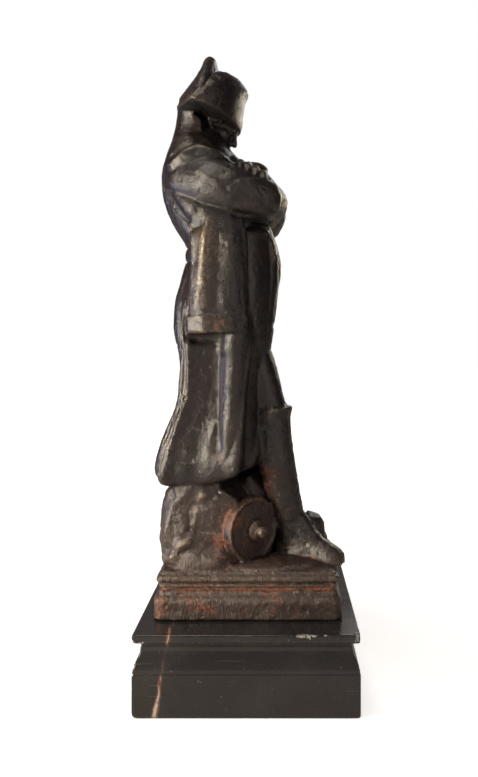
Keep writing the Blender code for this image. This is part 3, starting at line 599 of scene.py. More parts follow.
def trueBase(points):
    # side faces of the base are moved back on to the moulding's profile, which fusing softened
    c = casting
    heights, draws = np.array(c["profile"]).T
    draw = np.interp(points[:, 2] + c["baseHeight"], heights, draws)
    half = np.array((c["baseLength"], c["baseDepth"])) / 2 - c["corner"]
    over = np.abs(points[:, :2]) - half
    beyond = np.maximum(over, 0)
    length = np.linalg.norm(beyond, axis=1)
    away = length + np.minimum(over.max(1), 0) - c["corner"]
    flat = np.where(over[:, :1] > over[:, 1:], (1.0, 0.0), (0.0, 1.0))
    cornerwards = beyond / np.maximum(length, 1e-6)[:, None]
    out = np.where(length[:, None] > 0, cornerwards, flat) * np.sign(points[:, :2])
    shift = -draw - away
    shift[(points[:, 2] > -0.5) | (points[:, 2] < 0.4 - c["baseHeight"]) | (np.abs(shift) > 2.6)] = 0
    points[:, :2] += out * shift[:, None]
    return points


cannon = {
    "breechRadius": 13.8,
    "muzzleRadius": 7.8,
    "length": 52.0,
    "bossRadius": 4.8,
    "knobRadius": 2.3,
    "knobReach": 6.4,
    "turn": math.radians(45),
    "breech": (2.6, -18.8),
    "lift": 0.9,
}


def addCannon(shape):
    fat, slim, length = cannon["breechRadius"], cannon["muzzleRadius"], cannon["length"]
    knob, boss, reach = cannon["knobRadius"], cannon["bossRadius"], cannon["knobReach"]
    profile = (
        (slim * 0.85, length), (slim * 1.12, length * 0.97), (slim * 1.12, length * 0.93),
        (slim * 0.86, length * 0.86), (slim, length * 0.55), (slim * 1.1, length * 0.54),
        (slim * 1.1, length * 0.50), (fat * 0.80, length * 0.49), (fat * 0.84, length * 0.20),
        (fat * 0.90, length * 0.185), (fat * 0.90, length * 0.165), (fat * 0.86, length * 0.15),
        (fat * 0.88, length * 0.11), (fat * 0.96, length * 0.09), (fat, length * 0.08),
        (fat, 0.4), (fat * 0.98, 0), (fat * 0.89, 0), (fat * 0.86, 0.9), (fat * 0.60, 0.8),
        (boss * 1.1, 0.7), (boss, 0.2), (boss * 0.96, -1.5), (boss * 0.84, -2.4), (boss * 0.66, -3.0),
        (knob, -3.3), (knob * 0.9, -3.9), (knob, -4.5), (knob, -reach + 0.8), (knob * 0.8, -reach + 0.2),
        (knob * 0.3, -reach),
    )
    x, y = cannon["breech"]
    place = Matrix.Translation((x, y, fat + cannon["lift"])) @ Matrix.Rotation(cannon["turn"], 4, "Z")
    place = place @ Matrix.Rotation(math.radians(-90), 4, "X")
    addLoft(shape, [
        [place @ Vector((radius * math.cos(t), radius * math.sin(t), height))
         for t in np.linspace(0, 2 * math.pi, 64, endpoint=False)]
        for radius, height in profile[::-1]
    ])


buttons = {
    "coat": 1.3,
    "small": 0.85,
    "rows": (
        # first and last of each straight row, how many, which way they face, and which size
        ((13.0, -1.0, 128.0), (10.2, -1.0, 103.0), 4, (1, 0, 0.1), "small"),
        ((-30.4, -6.4, 133.6), (-30.4, 6.4, 133.6), 2, (-1, 0, 0), "coat"),
        ((7.2, -13.5, 140.0), (4.4, -14.6, 118.0), 3, (1, -0.5, 0), "coat"),
        ((7.2, 13.5, 140.0), (4.4, 14.6, 118.0), 3, (1, 0.5, 0), "coat"),
    ),
}


def buttonTree():
    tree = bpy.data.node_groups.new("buttonRow", "GeometryNodeTree")
    for name, kind, way in (
        ("Geometry", "NodeSocketGeometry", "OUTPUT"), ("First", "NodeSocketVector", "INPUT"),
        ("Last", "NodeSocketVector", "INPUT"), ("Facing", "NodeSocketVector", "INPUT"),
        ("Count", "NodeSocketInt", "INPUT"), ("Radius", "NodeSocketFloat", "INPUT"),
    ):
        tree.interface.new_socket(name=name, in_out=way, socket_type=kind)
    make, join = tree.nodes.new, tree.links.new
    given, made = make("NodeGroupInput"), make("NodeGroupOutput")
    line = make("GeometryNodeMeshLine")
    line.mode = "END_POINTS"
    join(given.outputs["Count"], line.inputs["Count"])
    join(given.outputs["First"], line.inputs["Start Location"])
    join(given.outputs["Last"], line.inputs["Offset"])   # the end point in this mode
    ball = make("GeometryNodeMeshUVSphere")
    ball.inputs["Segments"].default_value = 14
    ball.inputs["Rings"].default_value = 8
    join(given.outputs["Radius"], ball.inputs["Radius"])
    dome = make("GeometryNodeTransform")
    dome.inputs["Scale"].default_value = (1, 1, 0.6)
    join(ball.outputs["Mesh"], dome.inputs["Geometry"])
    turned = make("FunctionNodeAlignRotationToVector")
    turned.axis = "Z"
    join(given.outputs["Facing"], turned.inputs["Vector"])
    placed = make("GeometryNodeInstanceOnPoints")
    join(line.outputs["Mesh"], placed.inputs["Points"])
    join(dome.outputs["Geometry"], placed.inputs["Instance"])
    join(turned.outputs["Rotation"], placed.inputs["Rotation"])
    real, finish = make("GeometryNodeRealizeInstances"), make("GeometryNodeSetMaterial")
    join(placed.outputs["Instances"], real.inputs["Geometry"])
    join(real.outputs["Geometry"], finish.inputs["Geometry"])
    join(finish.outputs["Geometry"], made.inputs["Geometry"])
    return tree


def setInputs(modifier, values):
    for item in modifier.node_group.interface.items_tree:
        if item.item_type == "SOCKET" and item.in_out == "INPUT" and item.name in values:
            modifier[item.identifier] = values[item.name]


def addButtons(shape):
    tree = buttonTree()
    for first, last, count, facing, size in buttons["rows"]:
        holder = newObject("buttonRow", bmesh.new())
        row = holder.modifiers.new("Row", "NODES")
        row.node_group = tree
        setInputs(row, {
            "First": first, "Last": last, "Facing": facing, "Count": count, "Radius": buttons[size]})
        shape.from_mesh(evaluatedMesh(holder))
        bpy.data.objects.remove(holder)
    bpy.data.node_groups.remove(tree)


def makeClay():
    shape = bmesh.new()
    addCoat(shape)
    addBody(shape)
    for side in (-1, 1):
        addFacings(shape, side)
        addSleeve(shape, side)
    addDrapes(shape)
    addArms(shape)
    addHands(shape)
    addHead(shape)
    addCollar(shape)
    addHat(shape)
    addLeg(shape, -1, *legs["near"])
    addLeg(shape, 1, *legs["far"])
    addStones(shape)
    addBase(shape)
    addCannon(shape)
    addButtons(shape)
    return newObject("clay", shape)


def outerSkin(mesh):
    # only the outside of the clay is kept, and the pockets between the shapes are dropped
    shape = bmesh.new()
    shape.from_mesh(mesh)
    unseen, skins = set(shape.verts), []
    while unseen:
        skin, edge = set(), [next(iter(unseen))]
        while edge:
            vertex = edge.pop()
            if vertex in unseen:
                unseen.discard(vertex)
                skin.add(vertex)
                edge.extend(link.other_vert(vertex) for link in vertex.link_edges)
        skins.append(skin)
    largest = max(skins, key=len)
    bmesh.ops.delete(shape, geom=[v for v in shape.verts if v not in largest], context="VERTS")
    return shape


def readPoints(mesh):
    found = np.empty(len(mesh.vertices) * 3)
    mesh.vertices.foreach_get("co", found)
    return found.reshape(-1, 3)


def readNormals(mesh):
    found = np.empty(len(mesh.vertices) * 3)
    mesh.vertex_normals.foreach_get("vector", found)
    return found.reshape(-1, 3)


def writePoints(mesh, points):
    mesh.vertices.foreach_set("co", points.ravel())
    mesh.update()


def neighbourMean(mesh, values, rounds):
    pairs = np.empty(len(mesh.edges) * 2, int)
    mesh.edges.foreach_get("vertices", pairs)
    ends = np.concatenate([pairs[0::2], pairs[1::2]])
    others = np.concatenate([pairs[1::2], pairs[0::2]])
    total = len(mesh.vertices)
    share = np.maximum(np.bincount(ends, minlength=total), 1)
    values = values.reshape(total, -1).copy()
    for _ in range(rounds):
        for column in range(values.shape[1]):
            near = np.bincount(ends, values[others, column], total) / share
            values[:, column] = 0.5 * (values[:, column] + near)
    return values


def lumps(points, size, seed):
    # a smooth random field from -1 to 1, with humps of about this size
    table = np.random.default_rng(seed).random((32, 32, 32)) * 2 - 1
    scaled = points / size + 500
    cell = np.floor(scaled).astype(int)
    part = scaled - cell
    part = part * part * (3 - 2 * part)
    total = np.zeros(len(points))
    for dx in (0, 1):
        for dy in (0, 1):
            for dz in (0, 1):
                weight = np.ones(len(points))
                for axis, step in enumerate((dx, dy, dz)):
                    weight *= part[:, axis] if step else 1 - part[:, axis]
                at = (cell + (dx, dy, dz)) % 32
                total += weight * table[at[:, 0], at[:, 1], at[:, 2]]
    return total


def smoothStep(values, low, high):
    share = np.clip((values - low) / (high - low), 0, 1)
    return share * share * (3 - 2 * share)


def lineDistance(flat, line):
    # from each point in the plane to the nearest place on the line
    best = np.full(len(flat), 1e9)
    for start, end in zip(line, line[1:]):
        start, end = np.array(start), np.array(end)
        along = end - start
        share = np.clip((flat - start) @ along / (along @ along), 0, 1)
        best = np.minimum(best, np.linalg.norm(flat - start - share[:, None] * along, axis=1))
    return best


carving = {
    # Tool strokes on each side. Height in millimetres, half width, the range that they reach, then
    # the line in the plane of that side.
    "near": (
        (-0.45, 1.4, (-60, -14), ((-2.2, 144.1), (-1.3, 133.6), (0.8, 112.7), (3.3, 98))),
        (-0.3, 1.8, (-60, -14), ((3.3, 98), (4.9, 86.3), (5.8, 70.8), (6.2, 54.1), (6.6, 44.1))),
        (0.9, 1.4, (-60, -6), ((5.9, 145), (9.0, 138), (11.5, 131))),
        (-1.0, 1.7, (-60, -17), ((-25, 96.6), (-19, 96.2), (-13, 96.4))),
        (-1.4, 2.2, (-60, -10), ((-34, 157), (-30.2, 151.2), (-26.9, 145.3), (-23.5, 142.8), (-20, 143.6))),
        (1.0, 2.4, (-60, -16), ((-16.8, 144), (-18.5, 129.4), (-21, 108.5))),
        (0.8, 1.6, (-60, -8), ((-33.1, 170), (-28.1, 174.2), (-21.4, 178), (-13.9, 175.4), (-7.2, 171.3))),
        (-0.8, 1.5, (-60, -6), ((-33.5, 173), (-28.1, 177.4), (-21.4, 181), (-13.9, 178.4), (-7.2, 174.3))),
        (0.7, 1.1, (-60, -16), ((-13.5, 62), (-14.9, 57))),
        (-1.0, 1.4, (-60, -6), ((-27.1, 133.6), (-27.1, 70.8), (-31, 66), (-37, 41.5))),
        (-0.7, 1.2, (-60, -10), ((14.6, 148.2), (5.8, 152.4), (-3.4, 154.5))),
        (-0.7, 1.2, (-60, -10), ((7.5, 145.3), (0.8, 147.8), (-5.1, 148.2))),
        (-0.6, 1.2, (-60, -10), ((4.0, 165.0), (-3.0, 163.0), (-9.0, 158.5))),
        (0.6, 1.6, (-60, -10), ((-20.0, 166.0), (-12.0, 160.5), (-4.0, 160.5))),
        (-0.5, 2.6, (-60, -16), ((-12.0, 140.0), (-12.5, 126.0), (-13.0, 110.0))),
        (0.4, 2.2, (-60, -16), ((-6.5, 138.0), (-6.0, 124.0), (-4.5, 110.0))),
        (-0.7, 2.4, (-60, -16), ((-11.0, 88.0), (-12.0, 72.0), (-13.0, 50.0))),
        (0.5, 1.0, (-60, -10), ((-31.5, 92.0), (-30.8, 78.0), (-33.0, 64.0), (-38.0, 50.0))),
        (1.2, 2.3, (-60, -2), ((-19, 30.8), (-21.6, 20.2), (-25.3, 11.9), (-35.8, 1.4))),
    ),
    "far": (
        (-0.9, 1.5, (14, 60), ((-2.2, 144.1), (-1.3, 133.6), (0.8, 112.7), (3.3, 98), (5.8, 70.8),
                               (6.6, 44.1))),
        (-1.2, 2.2, (10, 60), ((-33, 158), (-29.5, 150), (-25.5, 145), (-21, 144))),
        (0.9, 2.2, (16, 60), ((-14.5, 143), (-15.5, 126), (-17.5, 108.5))),
        (-0.8, 1.6, (16, 60), ((-20.5, 141), (-21.0, 126), (-22.0, 112))),
        (0.8, 1.6, (8, 60), ((-33.1, 170), (-28.1, 174.2), (-21.4, 178), (-13.9, 175.4), (-7.2, 171.3))),
        (-0.8, 1.5, (6, 60), ((-33.5, 173), (-28.1, 177.4), (-21.4, 181), (-13.9, 178.4), (-7.2, 174.3))),
        (-0.9, 1.4, (6, 60), ((-27.1, 133.6), (-27.1, 74), (-31, 62), (-36, 42))),
        (-0.7, 1.3, (10, 60), ((13.5, 152), (5.0, 154.5), (-4.0, 156.5))),
        (-0.6, 1.2, (10, 60), ((10.0, 145.5), (2.0, 149.0), (-5.0, 149.5))),
        (1.2, 2.3, (2, 60), ((-17, 28), (-20, 18), (-27, 9), (-34, 2))),
    ),
    "front": (
        (-0.7, 0.9, (-10, 60), ((-9.0, 149.0), (-6.5, 128.0), (-5.5, 118.0))),
        (-0.7, 0.9, (-10, 60), ((9.0, 149.0), (6.5, 128.0), (5.5, 118.0))),
        (-0.9, 1.0, (-10, 60), ((-13.0, 102.5), (-4.0, 99.0), (0.0, 101.0), (4.0, 99.0), (13.0, 102.5))),
        (-0.6, 0.7, (0, 60), ((0.9, 130.0), (0.9, 101.0))),
        (-0.5, 1.2, (-10, 60), ((-9.0, 93.0), (-3.0, 90.0), (-1.0, 84.0))),
        (-0.5, 1.2, (-10, 60), ((9.0, 92.0), (3.5, 88.0), (1.5, 82.0))),
    ),
    "back": (
        (0.8, 2.2, (-60, -20), ((-15.0, 133.6), (15.0, 133.6))),
        (-0.9, 0.6, (-60, -20), ((-15.5, 136.6), (15.5, 136.6))),
        (-0.9, 0.6, (-60, -20), ((-15.5, 130.6), (15.5, 130.6))),
        (-0.8, 0.8, (-60, -20), ((0, 128.0), (0, 84.0), (0, 38.0))),
        (-0.6, 0.7, (-60, -20), ((0, 175.0), (0, 139.0))),
        (-0.6, 0.8, (-60, -16), ((-15.0, 172.0), (-13.0, 158.0), (-8.5, 140.0))),
        (-0.6, 0.8, (-60, -16), ((15.0, 172.0), (13.0, 158.0), (8.5, 140.0))),
    ),
    "sides": {
        # which axis runs across the side, which one faces out, and which way
        "near": (0, 1, -1), "far": (0, 1, 1), "front": (1, 0, 1), "back": (1, 0, -1),
    },
    # height in millimetres, size, seed and how often each kind of casting roughness comes
    "roughness": ((0.13, 4.6, 1), (0.09, 2.0, 2), (0.085, 0.95, 3)),
    "pits": (0.30, 1.3, 0.55, 4),
    "groundRoughness": ((0.14, 2.6, 5), (0.14, 1.1, 6)),
}


def carve(points, normals):
    push = np.zeros(len(points))
    for side, (across, out, way) in carving["sides"].items():
        facing = smoothStep(normals[:, out] * way, 0.1, 0.5)
        for depth, width, (least, most), line in carving[side]:
            line = np.array(line)
            low, high = line.min(0) - 3 * width, line.max(0) + 3 * width
            flat = points[:, (across, 2)]
            near = (facing > 0) & (points[:, out] > least) & (points[:, out] < most)
            near &= ((flat > low) & (flat < high)).all(1)
            chosen = np.flatnonzero(near)
            reach = lineDistance(flat[chosen], line)
            push[chosen] += depth * np.exp(-((reach / width) ** 2)) * facing[chosen]
    return points + normals * push[:, None]


def roughen(points, normals):
    push = np.zeros(len(points))
    for height, size, seed in carving["roughness"]:
        push += height * lumps(points, size, seed)
    depth, size, level, seed = carving["pits"]
    push -= depth * smoothStep(lumps(points, size, seed), level, 0.9)
    low = 1 - smoothStep(points[:, 2], 26, 36)   # the ground and the base are rougher
    for height, size, seed in carving["groundRoughness"]:
        push += height * lumps(points, size, seed) * low
    crisp = smoothStep(np.linalg.norm(points - np.array(head["centre"] + Vector((6, 0, -4))), axis=1), 10, 16)
    return points + normals * (push * (0.35 + 0.65 * crisp))[:, None]


rust = {
    # middle of each spot, its radius and how strong it is
    "spots": (
        ((-7, -21, 20), 7.5, 0.9), ((-12, -22, 11), 8.0, 0.8), ((-4, -20, 10), 5.0, 0.8),
        ((11, -16, 55), 3.5, 0.6), ((13, -14, 44), 4.0, 0.6), ((9.5, -14, 38), 6.0, 0.7),
        ((-11, -27, 47), 4.5, 0.5), ((-21, -26, 100), 4.0, 0.7), ((-12, -30, 104), 5.0, 0.6),
        ((-24, -28, 92), 4.0, 0.6), ((-23, -30, 117), 3.5, 0.5), ((-20, -30, -10), 9.0, 0.5),
        ((-37, -30, -12), 7.0, 0.5), ((10, -31, -9), 9.0, 0.5), ((36, -25, -8), 7.0, 0.5),
        ((-31, -18, 170), 4.0, 0.4), ((-20, -20, 178), 4.0, 0.4), ((-7, -22, 168), 4.0, 0.4),
        ((5, -14, 32), 6.0, 0.7), ((24, -10, 3), 7.0, 0.4), ((-32, 10, 8), 9.0, 0.7),
        ((-12, 24, 6), 9.0, 0.6), ((14, 20, 3), 8.0, 0.5), ((-28, 26, 60), 5.0, 0.4),
        ((-38, 0, -10), 12.0, 0.6), ((10, 30, -9), 14.0, 0.5), ((38, 6, -10), 9.0, 0.6),
        ((-38, 2, 44), 7.0, 0.4),
    ),
    # middle of each spot that hands have rubbed bright, its radius and how bright
    "rubbed": (
        ((-17, -31, 141), 4.6, 2.4), ((-18, -31, 132), 4.4, 2.2), ((-19, -31, 122), 4, 2.0),
        ((-20, -31, 113), 3.4, 1.6), ((-19, -31, 102), 6, 0.5), ((7, -20, 143), 4, 0.4),
        ((10, -15, 134), 5, 0.5), ((-3, -8, 196), 5, 0.4), ((-2.5, -8, 206), 5, 0.4),
        ((-26, -18, 176), 5, 0.5), ((-20, -20, 178), 4, 0.5), ((-31, -20, 12), 9, 0.5),
        ((-20, -23, 29), 5, 0.5), ((19, -9, 14), 5, 0.3), ((27, -13, 5), 5, 0.4), ((6, -26, 15), 4, 0.8),
        ((3, -24, 166), 6, 0.4), ((-9, -29, 100), 5, 0.3), ((-6, -29, 60), 5, 0.3),
        ((12, -20, 155), 5, 0.4),
    ),
    # middle of each spot painted darker as shade and made rougher, its radius and how strong
    "shadedDull": (
        ((-21, -24, 161), 9, 1.0), ((-12, -26, 160), 8, 0.8), ((-28, -18, 156), 7, 0.9),
        ((-22, -24, 149), 6, 0.7), ((-14, -30, 52), 8, 0.6), ((-9, -30, 44), 7, 0.6),
        ((-2, -27, 160), 7, 0.6), ((-33, -8, 152), 9, 0.6),
    ),
    "grooveHeight": -7.2,
}


def nearness(points, middle, radius):
    away = np.linalg.norm(points - np.array(middle), axis=1) / radius
    return np.exp(-(away ** 2))


def finishColours(mesh):
    # wear on the ridges, dirt and painted shade in the hollows, painted shade under the hat's brim, at the
    # foot of the base and in listed spots, rust and grit, kept on the mesh for the iron's material
    points = readPoints(mesh)
    normals = readNormals(mesh)
    fine = np.einsum("ij,ij->i", points - neighbourMean(mesh, points, 10), normals)
    broad = np.einsum("ij,ij->i", points - neighbourMean(mesh, points, 70), normals)
    scale = casting["grain"] / grain()
    wear = smoothStep(fine * scale, 0.05, 0.22) * 0.5 + smoothStep(broad * scale, 0.25, 1.1) * 0.6
    # darker in the hollows: dirt and painted shade
    grimeAndShade = smoothStep(-fine * scale, 0.02, 0.16) * 0.45 + smoothStep(-broad * scale, 0.08, 0.65) * 0.8
    # painted shade under the hat's brim: faces that look down, high on the figure, are darkened
    under = smoothStep(-normals[:, 2], 0.35, 0.8) * smoothStep(points[:, 2], 184, 190)
    grimeAndShade = np.maximum(grimeAndShade, 0.9 * under)
    # painted shade: darker towards the foot of the base
    grimeAndShade = np.maximum(grimeAndShade, 0.5 * (1 - smoothStep(points[:, 2], -16, -10)))
    breech = np.array((*cannon["breech"], cannon["breechRadius"] + cannon["lift"]))
    breechFace = 1 - smoothStep(np.linalg.norm(points - breech, axis=1), 12, 16)
    grimeAndShade *= 1 - 0.7 * breechFace
    for middle, radius, strength in rust["rubbed"]:
        wear += strength * nearness(points, middle, radius) * smoothStep(fine * scale, -0.08, 0.12)
    rocky = 1 - smoothStep(points[:, 0], 11, 15)   # the boots stay dark
    low = 0.45 * rocky * (1 - smoothStep(points[:, 2], 28, 40)) + 0.55 * (1 - smoothStep(points[:, 2], 1, 9))
    low = np.maximum(low, 0.9 * breechFace)
    # painted shade in the listed spots, which the material also makes rougher
    for middle, radius, strength in rust["shadedDull"]:
        grimeAndShade = np.maximum(grimeAndShade, strength * nearness(points, middle, radius))
    spots = np.zeros(len(points))
    for middle, radius, strength in rust["spots"]:
        spots = np.maximum(spots, strength * nearness(points, middle, radius))
    groove = np.exp(-(((points[:, 2] - rust["grooveHeight"]) / 1.0) ** 2)) * 0.9
    rusty = np.clip(np.maximum(spots, groove) * 1.1 + grimeAndShade * (0.18 + 0.25 * low), 0, 1)
    mixed = np.stack([np.clip(wear, 0, 1), np.clip(grimeAndShade, 0, 1), rusty, low], axis=1)
    layer = mesh.attributes.new("finish", "FLOAT_COLOR", "POINT")
    layer.data.foreach_set("color", mixed.ravel())


def grain():
    return casting["grain"]


def makeCasting():
    clay = makeClay()
    fused = clay.modifiers.new("Fused", "REMESH")
    fused.mode = "VOXEL"
    fused.voxel_size = grain()
    shape = outerSkin(evaluatedMesh(clay))
    bpy.data.objects.remove(clay)
    made = newObject("castFigure", shape)
    mesh = made.data
    print("clay fused,", len(mesh.vertices), "points")
    points = readPoints(mesh)
    writePoints(mesh, neighbourMean(mesh, points, casting["smoothRounds"]))
    writePoints(mesh, carve(readPoints(mesh), readNormals(mesh)))
    writePoints(mesh, trueBase(neighbourMean(mesh, readPoints(mesh), 1)))
    writePoints(mesh, roughen(readPoints(mesh), readNormals(mesh)))
    finishColours(mesh)
    print("casting carved")
    fewer = made.modifiers.new("Fewer faces", "DECIMATE")
    fewer.ratio = min(1.0, casting["triangles"] / sum(len(face.vertices) - 2 for face in mesh.polygons))
    made.data = evaluatedMesh(made)
    made.modifiers.clear()
    points = readPoints(made.data)
    low, high = np.array(ironLow), np.array(ironHigh)
    placed = (points + (0, 0, groundHeight)) * 0.001
    writePoints(made.data, np.clip(placed, low, high))
    made.data.polygons.foreach_set("use_smooth", [True] * len(made.data.polygons))
    print("casting has", len(made.data.polygons), "faces")
    return made


plinth = {
    "length": marbleHigh.x - marbleLow.x,
    "depth": marbleHigh.y - marbleLow.y,
    "height": marbleHigh.z - marbleLow.z,
    "columns": 151,
    "rowsEachStep": 4,
    # millimetres up and millimetres drawn in: the block below the cove, and the slab above it
    "block": ((0.0, 1.2), (0.5, 0.4), (1.2, 0.0), (6.0, 0.0), (11.5, 0.0), (17.3, 0.0), (17.8, 0.2)),
    "slab": ((28.4, 3.3), (30.0, 0.0), (32.1, 0.0), (32.45, 0.05), (32.75, 0.17), (32.97, 0.38),
             (33.08, 0.64), (33.1, 1.0)),
    "coveTop": 27.2,
    "coveDraw": 2.8,
    "coveSteps": 7,
    # middle, radius and depth of each chip in the polished edges, in millimetres
    "chips": (
        ((20.4, -45.0, 33.0), 1.3, 0.15), ((22.2, -45.0, 33.0), 1.6, 0.25),
        ((24.6, -45.0, 32.8), 1.5, 0.25), ((26.6, -45.0, 33.0), 1.2, 0.15),
        ((31.0, -44.6, 33.0), 0.8, 0.1), ((44.4, -44.6, 31.8), 2.2, 0.8),
        ((-45.0, -44.8, 29.8), 2.0, 0.7), ((-41.0, -45.0, 29.6), 1.4, 0.4),
        ((-44.8, -45.0, 0.6), 1.6, 0.6), ((45.0, 20.0, 30.4), 1.4, 0.4), ((-20.0, 45.0, 32.4), 1.6, 0.5),
        ((-45.0, 12.0, 32.4), 1.3, 0.4), ((45.0, -18.0, 17.8), 1.2, 0.35),
        ((-45.0, 40.0, 17.8), 1.4, 0.4), ((30.0, 45.0, 17.8), 1.3, 0.35),
    ),
    # the upright edges, from this far out, lose a little
    "cornerStart": 41,
    "cornerWear": 0.2,
}


def plinthProfile():
    p, rows = plinth, list(plinth["block"])
    start, draw = rows[-1]
    for step in range(1, p["coveSteps"] + 1):
        share = step / p["coveSteps"]
        curve = share - math.sin(2 * math.pi * share) / (2 * math.pi) * 0.8
        rows.append((start + (p["coveTop"] - start) * share, draw + p["coveDraw"] * curve))
    return rows + list(p["slab"])


def floatCurve(tree, values):
    made = tree.nodes.new("ShaderNodeFloatCurve")
    line = made.mapping.curves[0]
    places = [(index / (len(values) - 1), value) for index, value in enumerate(values)]
    line.points[0].location, line.points[1].location = places[0], places[-1]
    for place in places[1:-1]:
        line.points.new(*place)
    for point in line.points:
        point.handle_type = "VECTOR"
    made.mapping.update()
    return made


def plinthTree(rows):
    # a block of rows, each lifted to its height and drawn in by the moulding's profile
    tree = bpy.data.node_groups.new("mouldedBlock", "GeometryNodeTree")
    tree.interface.new_socket(name="Geometry", in_out="OUTPUT", socket_type="NodeSocketGeometry")
    for name, kind in (("Length", "Float"), ("Depth", "Float"), ("Height", "Float"), ("Deepest", "Float"),
                       ("Columns", "Int"), ("Rows", "Int"), ("Finish", "Material")):
        tree.interface.new_socket(name=name, in_out="INPUT", socket_type="NodeSocket" + kind)
    make, join = tree.nodes.new, tree.links.new
    given, made = make("NodeGroupInput"), make("NodeGroupOutput")

    def reckon(kind, first, second):
        worked = make("ShaderNodeMath")
        worked.operation = kind
        for socket, value in zip(worked.inputs, (first, second)):
            if isinstance(value, float):
                socket.default_value = value
            else:
                join(value, socket)
        return worked.outputs["Value"]

    block = make("GeometryNodeMeshCube")
    join(given.outputs["Columns"], block.inputs["Vertices X"])
    join(given.outputs["Columns"], block.inputs["Vertices Y"])
    join(given.outputs["Rows"], block.inputs["Vertices Z"])
    place = make("GeometryNodeInputPosition")
    apart, together = make("ShaderNodeSeparateXYZ"), make("ShaderNodeCombineXYZ")
    join(place.outputs["Position"], apart.inputs["Vector"])
    row = reckon("ADD", apart.outputs["Z"], 0.5)
    top, deepest = rows[-1][0], max(draw for _, draw in rows)
    rise = floatCurve(tree, [height / top for height, _ in rows])
    draw = floatCurve(tree, [inset / deepest for _, inset in rows])
    for curve in (rise, draw):
        join(row, curve.inputs["Value"])
    inset = reckon("MULTIPLY", reckon("MULTIPLY", draw.outputs["Value"], given.outputs["Deepest"]), 2.0)
    for axis, size in (("X", "Length"), ("Y", "Depth")):
        wide = reckon("SUBTRACT", given.outputs[size], inset)
        join(reckon("MULTIPLY", apart.outputs[axis], wide), together.inputs[axis])
    join(reckon("MULTIPLY", rise.outputs["Value"], given.outputs["Height"]), together.inputs["Z"])
    moved = make("GeometryNodeSetPosition")
    join(block.outputs["Mesh"], moved.inputs["Geometry"])
    join(together.outputs["Vector"], moved.inputs["Position"])
    real, finish = make("GeometryNodeRealizeInstances"), make("GeometryNodeSetMaterial")
    join(moved.outputs["Geometry"], real.inputs["Geometry"])
    join(real.outputs["Geometry"], finish.inputs["Geometry"])
    join(given.outputs["Finish"], finish.inputs["Material"])
    join(finish.outputs["Geometry"], made.inputs["Geometry"])
    return tree


def makePlinth(marble):
    rows = plinthProfile()
    holder = newObject("marblePlinth", bmesh.new())
    moulded = holder.modifiers.new("Moulded", "NODES")
    moulded.node_group = plinthTree(rows)
    setInputs(moulded, {
        "Length": plinth["length"], "Depth": plinth["depth"], "Height": plinth["height"],
        "Deepest": max(draw for _, draw in rows) * mm, "Columns": plinth["columns"],
        "Rows": plinth["rowsEachStep"] * (len(rows) - 1) + 1, "Finish": marble,
    })
    holder.data = evaluatedMesh(holder)
    holder.modifiers.clear()
    points = readPoints(holder.data) * 1000
    across, along = np.abs(points[:, 0]), np.abs(points[:, 1])
    corner = np.isclose(across, along) & (across > plinth["cornerStart"])
    points[corner, :2] -= np.sign(points[corner, :2]) * plinth["cornerWear"]
    broken = np.zeros(len(points))
    for middle, radius, depth in plinth["chips"]:
        away = np.linalg.norm(points - np.array(middle), axis=1)
        ragged = radius * (1 + 0.35 * lumps(points, 0.7, 11))
        inward = np.array([-np.sign(middle[0]), -np.sign(middle[1]), -0.6])
        inward[:2] *= np.abs(np.array(middle[:2])) > 44
        bite = np.clip(1 - (away / ragged) ** 2, 0, 1) ** 0.5
        points += depth * bite[:, None] * inward / np.linalg.norm(inward)
        broken = np.maximum(broken, bite)
    writePoints(holder.data, np.clip(points * mm, np.array(marbleLow), np.array(marbleHigh)))
    layer = holder.data.attributes.new("broken", "FLOAT", "POINT")
    layer.data.foreach_set("value", broken)
    holder.data.polygons.foreach_set("use_smooth", [True] * len(holder.data.polygons))
    holder.data.set_sharp_from_angle(angle=math.radians(24))
    print("plinth has", len(holder.data.polygons), "faces")
    return holder


def startMaterial(name):
    made = bpy.data.materials.new(name)
    made.use_nodes = True
    tree = made.node_tree
    shader = tree.nodes["Principled BSDF"]
    return made, tree, shader


def addNode(tree, kind, inputs=(), **settings):
    made = tree.nodes.new(kind)
    for name, value in settings.items():
        setattr(made, name, value)
    for name, value in dict(inputs).items():
        if isinstance(value, bpy.types.NodeSocket):
            tree.links.new(value, made.inputs[name])
        else:
            made.inputs[name].default_value = value
    return made


def noise(tree, place, scale, detail=4.0, rough=0.55):
    found = addNode(tree, "ShaderNodeTexNoise", {
        "Vector": place, "Scale": scale, "Detail": detail, "Roughness": rough})
    return found.outputs["Fac"]


def ramp(tree, value, low, high, least=0.0, most=1.0):
    found = addNode(tree, "ShaderNodeMapRange", {
        "Value": value, "From Min": low, "From Max": high, "To Min": least, "To Max": most,
    }, interpolation_type="SMOOTHSTEP")
    return found.outputs["Result"]


def mathNode(tree, kind, first, second=0.0, clamp=False):
    found = addNode(tree, "ShaderNodeMath", {0: first, 1: second}, operation=kind, use_clamp=clamp)
    return found.outputs["Value"]


def mixColour(tree, share, first, second):
    found = addNode(tree, "ShaderNodeMix", {0: share, 6: first, 7: second}, data_type="RGBA")
    return found.outputs[2]


def mixValue(tree, share, first, second):
    found = addNode(tree, "ShaderNodeMix", {0: share, 2: first, 3: second}, data_type="FLOAT")
    return found.outputs[0]


iron = {
    "dark": (0.0056, 0.0035, 0.0037, 1),
    "brown": (0.0135, 0.0075, 0.0064, 1),
    "earth": (0.048, 0.0285, 0.0215, 1),   # the ground and the base
    "worn": (0.27, 0.22, 0.155, 1),
    # dirt in the hollows, and painted shade under the hat's brim, at the base's foot and in listed spots
    "grimeAndShadeColour": (0.0034, 0.0024, 0.0023, 1),
    "rustDark": (0.080, 0.025, 0.012, 1),
    "rustLight": (0.30, 0.085, 0.030, 1),
    "metallic": 0.15,
    "ior": 1.60,
    "bump": 0.00036,
}


